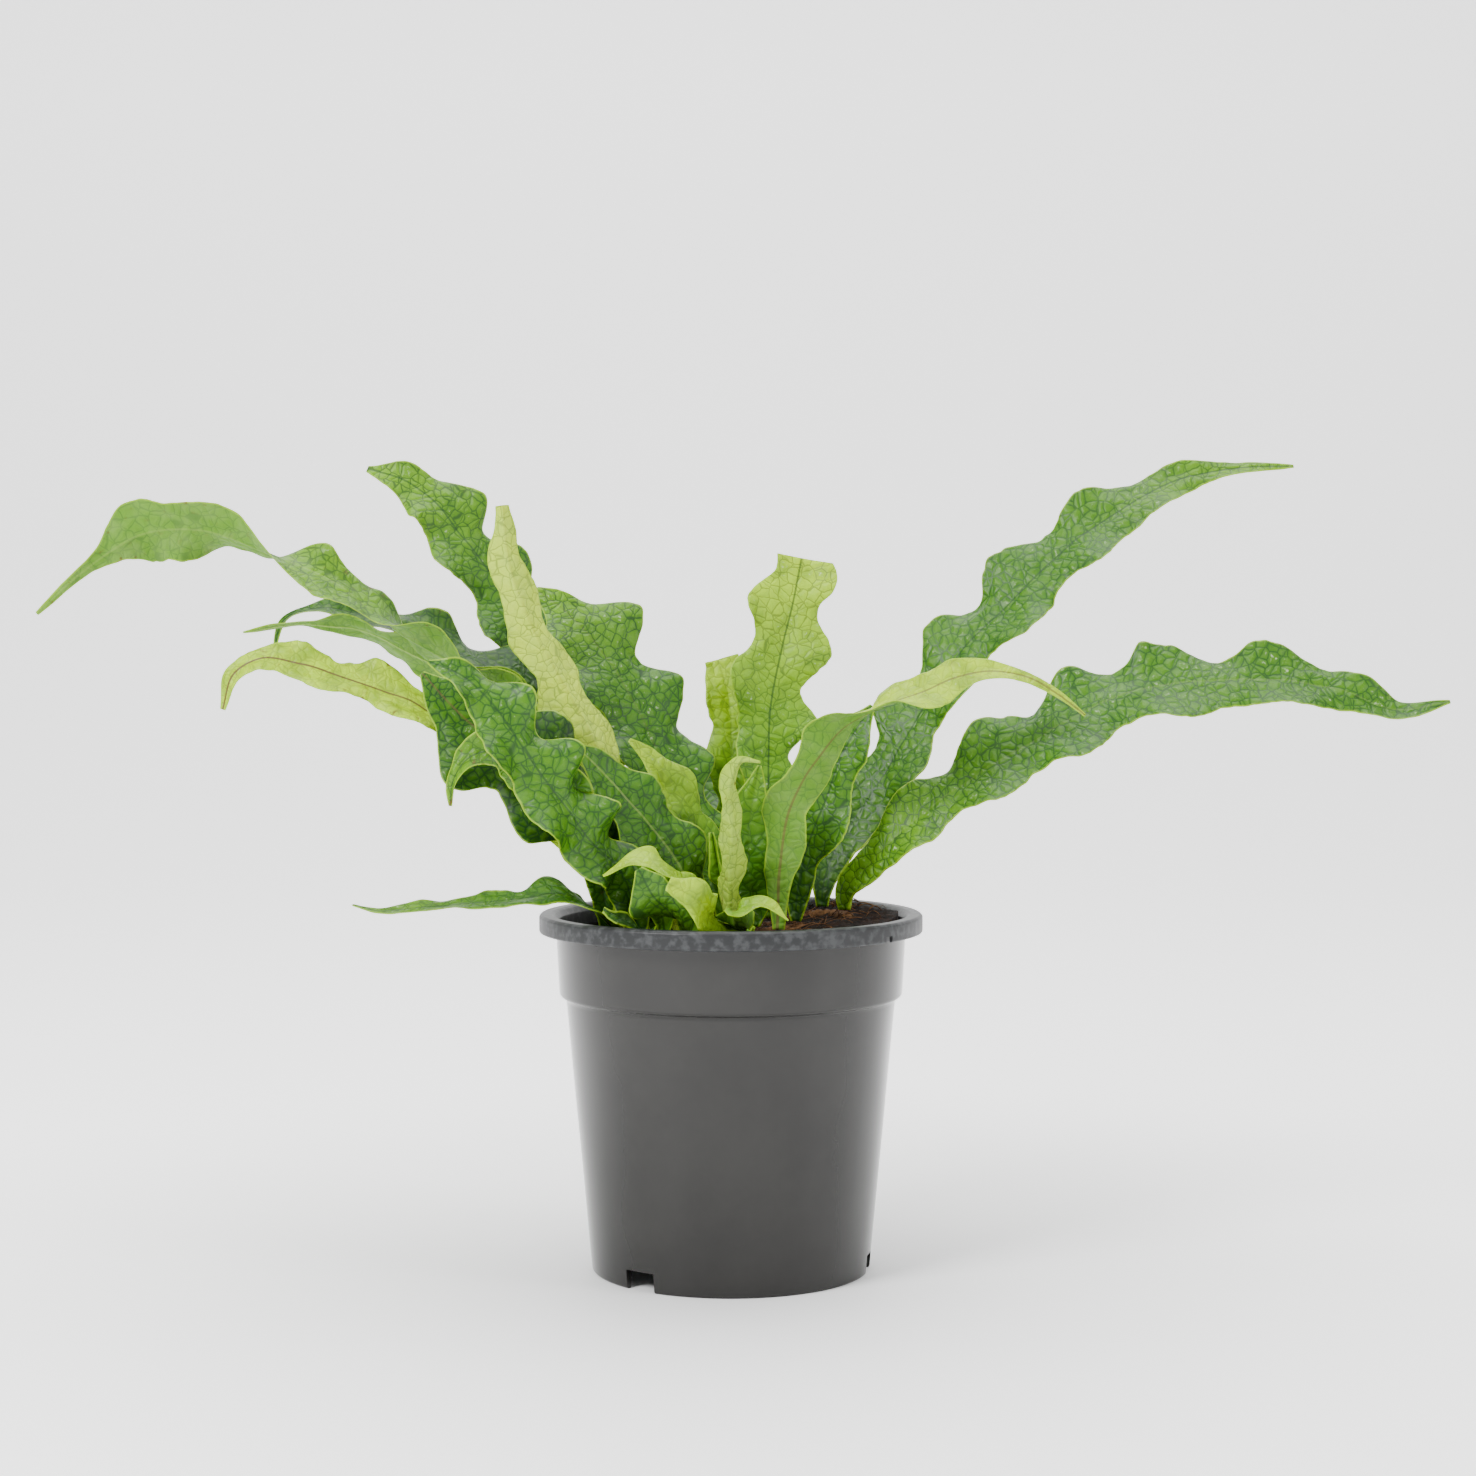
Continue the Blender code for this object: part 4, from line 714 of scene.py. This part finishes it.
def frond_piece(frond, look, line, seed):
    """A closed blade: the middle surface moved out to both sides along its normals by half the
    thickness, with a narrow wall around the margin. The rib makes the middle thicker below."""
    middle, across, along, edge = frond_grid(frond, line, seed)
    rows, columns = across.shape
    slope = np.cross(np.gradient(middle, axis=0), np.gradient(middle, axis=1))
    normal = slope / np.maximum(np.linalg.norm(slope, axis=-1, keepdims=True), 1e-12)
    run = along / along[-1, 0]
    rib = np.exp(-(across / (0.10 + 0.10 * (1 - run)))**2)
    fade = 1 - 0.8 * run
    thin = smooth_step(0.0, 0.08, edge)
    upper = (BLADE * (0.35 + 0.65 * thin) + STALK * np.exp(-12 * run)) / 2 - 0.25 * MM * rib * fade
    lower = (BLADE * (0.35 + 0.65 * thin) + STALK * np.exp(-12 * run)) / 2 + 0.7 * MM * rib * fade
    top, bottom = middle + normal * upper[..., None], middle - normal * lower[..., None]
    half = rows * columns
    rim = np.concatenate([np.arange(rows) * columns, (rows - 1) * columns + np.arange(1, columns),
                          np.arange(rows - 2, -1, -1) * columns + columns - 1,
                          np.arange(columns - 2, 0, -1)])
    step = np.roll(rim, -1)
    wall = np.stack([step, rim, rim + half, step + half], axis=-1)
    faces = np.concatenate([grid_quads(rows, columns), grid_quads(rows, columns, half, True), wall])
    place = run[:, 0]
    shade = stations(look.upper, rows)
    values = {
        "blade": np.stack([across, along, 0 * across + 3.7 * seed], axis=-1),
        "hue": np.broadcast_to(np.clip(shade, 0.0, 1.0)[:, None], (rows, columns, 3)),
        "under": np.broadcast_to(np.array(look.under)[None, None], (rows, columns, 3)),
        "look": np.broadcast_to(np.array([look.net, look.gloss, look.rib]), (rows, columns, 3)),
        "form": np.stack([edge, 0 * edge + place[:, None], 0 * edge + look.brown], axis=-1),
    }
    stored = {k: np.tile(v.reshape(-1, 3), (2, 1)) for k, v in values.items()}
    stored["side"] = np.repeat([1.0, 0.0], half)
    points = np.concatenate([top.reshape(-1, 3), bottom.reshape(-1, 3)])
    return mesh_piece(frond.name + "_blade", points, faces, stored)


# %% [markdown]
# ## How each frond looks
# Age sets the colour, and one frond that lies in the shade of others is given a darker green
# as painted shade. New fronds are cream and yellow-green, and the net of veins hardly shows.
# Full-grown ones are deep green with a dark net, and the blistered cells between the veins
# catch the light, helped by whitish patches painted on them as a painted highlight. The underside
# is always matt and grey-green.

# %% Colours of the fronds
def tone(red, green, blue):
    """A colour given as the eye names it, 0 to 255, turned into linear light."""
    value = np.array([red, green, blue]) / 255.0
    return tuple(np.where(value <= 0.04045, value / 12.92, ((value + 0.055) / 1.055) ** 2.4))


# The fourth number of a Look sets how strong the painted whitish highlight on the blisters is.
Look = namedtuple("Look", "upper under net gloss rib brown")
GREEN, DEEP, FRESH = tone(56, 106, 0), tone(26, 62, 0), tone(98, 146, 0)
YELLOW, CREAM, PALE = tone(164, 196, 0), tone(190, 206, 64), tone(84, 130, 22)
GREY = tone(58, 104, 16)
FULL = Look((DEEP, GREEN, GREEN, GREEN), GREY, 1.0, 0.45, 0.0, 0.0)
LOOKS = {
    "frond_left_long_arching": Look((DEEP, GREEN, FRESH, GREEN), PALE, 0.8, 0.6, 0.3, 0.7),
    "frond_left_pale_underside": Look((GREEN, GREEN, FRESH), PALE, 0.55, 0.2, 0.5, 0.0),
    "frond_left_back_hooked": Look((DEEP, DEEP, GREEN), GREY, 0.8, 0.3, 0.0, 0.2),
    "frond_left_yellow": Look((FRESH, YELLOW, YELLOW), tone(158, 190, 0), 0.4, 0.2, -0.8, 0.8),
    # This frond lies in the shade of the fronds above it. Its upper side is deep green for two thirds of
    # its length instead of the usual first third, and this extra darkness is painted shade.
    "frond_left_broad_dark": Look((DEEP, DEEP, GREEN), GREY, 1.0, 0.5, -0.5, 0.0),
    "frond_left_small_hooked": Look((DEEP, GREEN, FRESH), GREY, 0.7, 0.4, 0.0, 0.8),
    "frond_left_ruffled": Look((DEEP, GREEN, GREEN), GREY, 0.9, 0.5, 0.0, 0.1),
    "frond_back_left_tall": Look((DEEP, GREEN, GREEN, FRESH), PALE, 0.9, 0.7, 0.0, 0.1),
    "frond_centre_young_pale": Look((PALE, CREAM, CREAM), tone(176, 200, 48), 0.6, 0.5, -0.3, 0.1),
    "frond_centre_broad": Look((GREEN, GREEN, GREEN, FRESH), GREY, 1.0, 0.9, -0.3, 0.0),
    "frond_back_short": Look((GREEN, FRESH, YELLOW), PALE, 0.5, 0.4, 0.2, 0.0),
    "frond_centre_tall": Look((FRESH, FRESH, YELLOW), PALE, 0.7, 0.8, 0.0, 0.0),
    "frond_front_young_folded": Look((YELLOW, CREAM, YELLOW), tone(150, 180, 44), 0.3, 0.2, 0.2, 1.0),
    "frond_front_short_broad": Look((GREEN, GREEN, FRESH), GREY, 0.6, 1.0, 0.2, 0.0),
    "frond_right_arching_twisted": Look((GREEN, YELLOW, YELLOW), PALE, 0.35, 0.5, -0.6, 0.2),
    "frond_right_upright": Look((DEEP, GREEN, GREEN), GREY, 0.9, 0.4, 0.0, 0.0),
    "frond_right_long_upper": Look((DEEP, GREEN, GREEN, FRESH), GREY, 0.8, 0.5, 0.0, 0.1),
    "frond_right_long_lower": Look((FRESH, GREEN, GREEN, GREEN), GREY, 0.9, 0.9, 0.25, 0.1),
    "frond_left_low_narrow": Look((DEEP, GREEN, FRESH), PALE, 0.6, 0.6, 0.0, 0.3),
    "frond_front_grey_broad": Look((PALE, GREY), tone(84, 124, 50), 0.8, 0.2, 0.0, 0.0),
    "frond_front_arching": Look((FRESH, YELLOW), PALE, 0.3, 0.4, 0.3, 0.0),
    "frond_front_bright_blunt": Look((FRESH, YELLOW), PALE, 0.35, 0.3, 0.2, 0.0),
    "frond_front_rim_leaf": Look((FRESH, FRESH, YELLOW), PALE, 0.3, 0.5, 0.3, 0.2),
    "frond_front_tiny": Look((DEEP, DEEP), GREY, 0.3, 0.2, 0.0, 0.0),
    "frond_front_small_upright": Look((GREEN, FRESH), GREY, 0.3, 0.2, 0.0, 0.0),
    "frond_centre_left_mid": Look((FRESH, GREEN, GREEN), GREY, 0.9, 0.6, 0.4, 0.0),
    "frond_centre_yellow_tip": Look((GREEN, FRESH, YELLOW), PALE, 0.5, 0.8, 0.2, 0.2),
}
LOOKS["frond_front_thin_folded"] = LOOKS["frond_front_small_upright"]

# %% Make the fronds
line = rhizome_line(400)
blades = []
worst = 0.0
for index, frond in enumerate(FRONDS):
    look = LOOKS.get(frond.name, FULL)
    blade = frond_piece(frond, look, line, index)
    blades.append(blade)
    low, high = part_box(frond.name)
    corners = np.array([v.co for v in blade.data.vertices])
    miss = max(np.abs(corners.min(0) - low).max(), np.abs(corners.max(0) - high).max())
    worst = max(worst, miss)
    print(f"{frond.name}: {triangles(blade)} triangles, {miss / MM:.1f} mm from its plain blade")
print("fronds:", sum(triangles(b) for b in blades), "triangles, worst", round(worst / MM, 1), "mm")

# %% [markdown]
# ## Finishes
# The leaf finish is worked out from what each blade knows about itself: how far a point is
# across and along the blade, and how far from the margin. The net of veins is a pattern of
# cells with dark borders, in two sizes, crossed by stronger side veins. The same cells swell
# into blisters. Because young and old fronds differ only in numbers, they share the pattern.

# %% Leaf patterns
def add(nodes, kind, **settings):
    """A shader node with its settings, and its input values where the name is an input's."""
    node = nodes.new("ShaderNode" + kind)
    for key, value in settings.items():
        if hasattr(node, key):
            setattr(node, key, value)
        else:
            node.inputs[key.replace("_", " ")].default_value = value
    return node


def maths(tree, operation, *values):
    """The output of a math node; each value is a number or another node's output."""
    node = tree.nodes.new("ShaderNodeMath")
    node.operation = operation
    for i, value in enumerate(values):
        if isinstance(value, (int, float)):
            node.inputs[i].default_value = value
        else:
            tree.links.new(value, node.inputs[i])
    return node.outputs[0]


def times(tree, a, b):
    return maths(tree, "MULTIPLY", a, b)


def ramp(tree, value, low, high, start=0.0, end=1.0):
    """The value carried smoothly from one range to another."""
    node = tree.nodes.new("ShaderNodeMapRange")
    node.interpolation_type = "SMOOTHSTEP"
    tree.links.new(value, node.inputs[0])
    for i, number in enumerate((low, high, start, end), 1):
        node.inputs[i].default_value = number
    return node.outputs[0]


def mixed(tree, share, a, b, blend="MIX"):
    """Two colours mixed by a share; each is a node's output or a plain colour."""
    node = tree.nodes.new("ShaderNodeMix")
    node.data_type, node.blend_type = "RGBA", blend
    for socket, value in ((node.inputs[0], share), (node.inputs[6], a), (node.inputs[7], b)):
        if isinstance(value, (int, float)):
            socket.default_value = value
        elif isinstance(value, tuple):
            socket.default_value = (*value, 1.0)
        else:
            tree.links.new(value, socket)
    return node.outputs[2]


def stored(tree, name, part=None):
    """A value stored on the mesh; the part picks one number of a vector."""
    node = tree.nodes.new("ShaderNodeAttribute")
    node.attribute_name = name
    if part is None:
        return node.outputs["Color"] if name in ("hue", "under") else node.outputs["Vector"]
    split = tree.nodes.new("ShaderNodeSeparateXYZ")
    tree.links.new(node.outputs["Vector"], split.inputs[0])
    return split.outputs[part]


def noise(tree, vector, scale, detail=3.0):
    node = add(tree.nodes, "TexNoise", Scale=scale, Detail=detail)
    tree.links.new(vector, node.inputs["Vector"])
    return node.outputs["Fac"]


def cells(tree, vector, scale, feature):
    node = add(tree.nodes, "TexVoronoi", Scale=scale, Randomness=0.85)
    node.feature = feature
    tree.links.new(vector, node.inputs["Vector"])
    return node.outputs["Distance"]


def net_group():
    """Veins and blisters. In: the place on the blade in cm. Out: dark net, faint net, swelling."""
    tree = bpy.data.node_groups.new("vein_net", "ShaderNodeTree")
    tree.interface.new_socket("Place", in_out="INPUT", socket_type="NodeSocketVector")
    for name in ("Net", "Side veins", "Swelling"):
        tree.interface.new_socket(name, in_out="OUTPUT", socket_type="NodeSocketFloat")
    start, end = tree.nodes.new("NodeGroupInput"), tree.nodes.new("NodeGroupOutput")
    place = start.outputs[0]
    bent = add(tree.nodes, "TexNoise", Scale=1.6, Detail=2.0)
    tree.links.new(place, bent.inputs["Vector"])
    shift = add(tree.nodes, "VectorMath", operation="MULTIPLY_ADD")
    shift.inputs[1].default_value = (0.35, 0.35, 0.0)
    tree.links.new(bent.outputs["Color"], shift.inputs[0])
    tree.links.new(place, shift.inputs[2])
    where = shift.outputs[0]
    edge = cells(tree, where, 1.9, "DISTANCE_TO_EDGE")
    finer = cells(tree, where, 5.0, "DISTANCE_TO_EDGE")
    split = tree.nodes.new("ShaderNodeSeparateXYZ")
    tree.links.new(where, split.inputs[0])
    rise = times(tree, maths(tree, "ABSOLUTE", split.outputs[0]), -0.55)
    beat = maths(tree, "PINGPONG", maths(tree, "ADD", split.outputs[1], rise), 0.5)
    sides = ramp(tree, beat, 0.05, 0.0)
    net = maths(tree, "MAXIMUM", ramp(tree, edge, 0.075, 0.015), ramp(tree, finer, 0.06, 0.0, 0.0, 0.3))
    swell = maths(tree, "MINIMUM", ramp(tree, edge, 0.0, 0.34), ramp(tree, beat, 0.0, 0.22))
    for value, socket in ((net, 0), (sides, 1), (swell, 2)):
        tree.links.new(value, end.inputs[socket])
    return tree


NET = net_group()


def new_material(name):
    material = bpy.data.materials.new(name)
    material.use_nodes = True
    return material, material.node_tree, material.node_tree.nodes["Principled BSDF"]


def leaf_finish(name, roughness, subsurface):
    """Green tissue with its net, blisters, glossy skin, a painted whitish highlight on the blisters, pale
    margin and brown spots, by side.
    """
    material, tree, shader = new_material(name)
    group = tree.nodes.new("ShaderNodeGroup")
    group.node_tree = NET
    place = stored(tree, "blade")
    tree.links.new(place, group.inputs[0])
    net, sides, swell = group.outputs
    across, edge, brown = stored(tree, "blade", 0), stored(tree, "form", 0), stored(tree, "form", 2)
    upper = ramp(tree, stored(tree, "side", 0), 0.35, 0.65)
    strength, gloss = stored(tree, "look", 0), stored(tree, "look", 1)
    broad, fine = noise(tree, place, 0.9), noise(tree, place, 7.0)
    face = mixed(tree, ramp(tree, broad, 0.35, 0.7, 0.0, 0.45), stored(tree, "hue"), (0.015, 0.085, 0.0))
    face = mixed(tree, times(tree, swell, 0.12), face, (0.20, 0.40, 0.01))
    dark = mixed(tree, 0.9, face, (0.003, 0.022, 0.006))
    veins = maths(tree, "MAXIMUM", net, times(tree, sides, 0.8))
    face = mixed(tree, times(tree, veins, times(tree, strength, 0.85)), face, dark)
    # Painted highlight: whitish patches mixed into the colour on the blister tops, in broad areas, as a
    # painted sheen.
    lit = times(tree, ramp(tree, fine, 0.5, 0.75), ramp(tree, swell, 0.55, 1.0))
    painted_sheen = times(tree, times(tree, lit, gloss), ramp(tree, broad, 0.45, 0.65))
    face = mixed(tree, times(tree, painted_sheen, 0.6), face, (0.62, 0.72, 0.50))
    back = mixed(tree, times(tree, veins, 0.5), stored(tree, "under"), (0.02, 0.07, 0.012))
    back = mixed(tree, ramp(tree, broad, 0.3, 0.8, 0.0, 0.3), back, (0.24, 0.36, 0.10))
    colour = mixed(tree, upper, back, face)
    middle = ramp(tree, maths(tree, "ABSOLUTE", across), 0.075, 0.03)
    rib = stored(tree, "look", 2)
    brown_rib = times(tree, middle, ramp(tree, rib, -0.1, -0.9))
    pale_rib = times(tree, middle, ramp(tree, rib, 0.1, 0.9))
    green_rib = times(tree, middle, times(tree, ramp(tree, maths(tree, "ABSOLUTE", rib), 0.3, 0.0), 0.7))
    colour = mixed(tree, brown_rib, colour, (0.10, 0.06, 0.02))
    colour = mixed(tree, pale_rib, colour, (0.30, 0.42, 0.08))
    colour = mixed(tree, green_rib, colour, (0.008, 0.04, 0.006))
    colour = mixed(tree, ramp(tree, edge, 0.10, 0.03, 0.0, 0.7), colour, (0.26, 0.42, 0.01))
    burnt = times(tree, ramp(tree, noise(tree, place, 2.3), 0.62, 0.70), brown)
    rust = times(tree, burnt, ramp(tree, edge, 0.5, 0.1, 0.25, 1.0))
    colour = mixed(tree, rust, colour, (0.10, 0.035, 0.01))
    tree.links.new(colour, shader.inputs["Base Color"])
    rough = maths(tree, "ADD", ramp(tree, upper, 0.0, 1.0, 0.72, roughness), times(tree, fine, 0.12))
    tree.links.new(rough, shader.inputs["Roughness"])
    height = maths(tree, "ADD", swell, times(tree, fine, 0.25))
    bump = add(tree.nodes, "Bump", Strength=0.5, Distance=0.0007)
    tree.links.new(height, bump.inputs["Height"])
    tree.links.new(bump.outputs[0], shader.inputs["Normal"])
    shader.inputs["Specular IOR Level"].default_value = 0.28
    shader.inputs["Subsurface Weight"].default_value = subsurface
    shader.inputs["Subsurface Radius"].default_value = (0.8, 1.0, 0.3)
    shader.inputs["Subsurface Scale"].default_value = 0.0012
    return material


LEAF_FINISHES = {
    "frond_green": leaf_finish("frond_green", 0.36, 0.12),
    "frond_young": leaf_finish("frond_young", 0.42, 0.30),
    "frond_underside": leaf_finish("frond_underside", 0.48, 0.25),
}
print("leaf finishes:", sorted(LEAF_FINISHES))

# %% [markdown]
# ## Plastic, soil and stem
# Polypropylene is a slightly soft gloss: the wall mirrors the floor and the lamps, blurred, and
# fine scuffs break it up. The lip is etched in the mould, so it is matt with pale handling marks.
# Peat is nearly black when it is damp, with rust-brown fibres.

# %% Other finishes
def plastic_finish():
    material, tree, shader = new_material("pot_plastic")
    place = tree.nodes.new("ShaderNodeTexCoord").outputs["Object"]
    split = tree.nodes.new("ShaderNodeSeparateXYZ")
    tree.links.new(place, split.inputs[0])
    lip = ramp(tree, split.outputs[2], 166 * MM, 168 * MM)
    cloud, speck = noise(tree, place, 22.0, 4.0), noise(tree, place, 900.0)
    wall = mixed(tree, ramp(tree, cloud, 0.3, 0.7), (0.013, 0.0125, 0.0115), (0.017, 0.0165, 0.015))
    mottle = ramp(tree, noise(tree, place, 260.0, 5.0), 0.42, 0.66)
    matt = mixed(tree, mottle, (0.013, 0.014, 0.015), (0.040, 0.042, 0.044))
    tree.links.new(mixed(tree, lip, wall, matt), shader.inputs["Base Color"])
    rough = maths(tree, "ADD", ramp(tree, lip, 0.0, 1.0, 0.12, 0.42), times(tree, cloud, 0.05))
    tree.links.new(rough, shader.inputs["Roughness"])
    shader.inputs["Specular IOR Level"].default_value = 0.34
    bump = add(tree.nodes, "Bump", Strength=0.06, Distance=0.0002)
    tree.links.new(maths(tree, "ADD", speck, times(tree, lip, speck)), bump.inputs["Height"])
    tree.links.new(bump.outputs[0], shader.inputs["Normal"])
    return material


def earth_finish(name, deep, pale, scale, roughness):
    """Crumbs or bark: two colours in patches of two sizes, dull, with a fine grain."""
    material, tree, shader = new_material(name)
    place = tree.nodes.new("ShaderNodeTexCoord").outputs["Object"]
    coarse, fine = noise(tree, place, scale, 4.0), noise(tree, place, scale * 6, 4.0)
    colour = mixed(tree, ramp(tree, coarse, 0.4, 0.62), deep, pale)
    colour = mixed(tree, ramp(tree, fine, 0.58, 0.72), colour, (0.035, 0.013, 0.005))
    tree.links.new(colour, shader.inputs["Base Color"])
    bump = add(tree.nodes, "Bump", Strength=0.8, Distance=0.0008)
    tree.links.new(fine, bump.inputs["Height"])
    tree.links.new(bump.outputs[0], shader.inputs["Normal"])
    shader.inputs["Roughness"].default_value = roughness
    shader.inputs["Specular IOR Level"].default_value = 0.15
    return material


FINISHES = {
    "pot_plastic": plastic_finish(),
    "soil": earth_finish("soil", (0.0025, 0.0012, 0.0008), (0.012, 0.005, 0.002), 160.0, 0.92),
    "rhizome_bark": earth_finish("rhizome_bark", (0.05, 0.022, 0.008), (0.13, 0.060, 0.022), 220.0, 0.8),
    **LEAF_FINISHES,
}

# %% Put the pieces in their places
SLOTS = {node["node"]: node["material_slot"] for node in frame["record"]["subparts"]}


def settle(piece, node, slot):
    """The piece rides the one body, stands for its plain node and takes the slot's finish."""
    piece.data.materials.clear()
    piece.data.materials.append(FINISHES[slot])
    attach(piece, "root")
    if node:
        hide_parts(node)


settle(pot, "pot", "pot_plastic")
settle(soil, "soil", "soil")
settle(rhizome, "rhizome", "rhizome_bark")
settle(fibres, None, "rhizome_bark")
for frond, blade in zip(FRONDS, blades):
    settle(blade, frond.name, SLOTS[frond.name])
print("pieces:", 4 + len(blades))

# %% [markdown]
# ## Floor and light
# A white sweep in a bright room, with large soft lamps: one high at the left front, one lower at
# the right, and a wide one above. The sweep also glows as if it were a lamp, faintly near the pot
# and brightly away from it, which paints a wide soft shadow around the foot.

# %% Floor and light
def sweep(width, depth, height, bend):
    """A floor that curves up into a back wall."""
    turn = np.linspace(0.0, np.pi / 2, 24)
    side = np.concatenate([[[-depth, 0.0]], np.column_stack(
        [depth - bend + bend * np.sin(turn), bend - bend * np.cos(turn)]), [[depth, height]]])
    x = np.linspace(-width / 2, width / 2, 2)
    points = np.array([[(a, b[0], b[1]) for a in x] for b in side])
    return mesh_piece("floor", points, grid_quads(len(side), 2, turned=True))


floor = sweep(9.0, 3.0, 4.0, 1.2)
finish, tree, shader = new_material("floor")
floor.data.materials.append(finish)
shader.inputs["Base Color"].default_value = (0.92, 0.92, 0.92, 1.0)
shader.inputs["Roughness"].default_value = 0.6
# The floor glows though it is no lamp: its emission grows from nothing near the pot to 0.9 at 0.6 m, a
# painted shadow around the foot.
shader.inputs["Emission Color"].default_value = (1.0, 1.0, 1.0, 1.0)
painted_shadow_distance = add(tree.nodes, "VectorMath", operation="LENGTH")
tree.links.new(tree.nodes.new("ShaderNodeTexCoord").outputs["Object"], painted_shadow_distance.inputs[0])
tree.links.new(ramp(tree, painted_shadow_distance.outputs["Value"], 0.02, 0.6, 0.0, 0.9), shader.inputs["Emission Strength"])
lamps = [("key", (-1.5, -1.5, 1.7), (0.9, 0.9), 85.0), ("side", (1.9, -0.9, 1.0), (0.6, 1.5), 20.0),
         ("above", (0.1, 0.3, 2.3), (2.0, 2.0), 60.0), ("front", (0.5, -2.3, 1.5), (1.2, 0.8), 12.0)]
for name, place, size, power in lamps:
    data = bpy.data.lights.new(name, "AREA")
    data.shape, data.size, data.size_y, data.energy = "RECTANGLE", size[0], size[1], power
    lamp = bpy.data.objects.new(name, data)
    lamp.location = place
    toward = Vector((0.0, 0.0, 0.2)) - Vector(place)
    lamp.rotation_euler = toward.to_track_quat("-Z", "Y").to_euler()
    bpy.context.scene.collection.objects.link(lamp)
world = bpy.data.worlds.new("studio")
world.use_nodes = True
world.node_tree.nodes["Background"].inputs[0].default_value = (1.0, 1.0, 1.0, 1.0)
world.node_tree.nodes["Background"].inputs[1].default_value = 0.5
bpy.context.scene.world = world
print("lamps:", len(lamps))
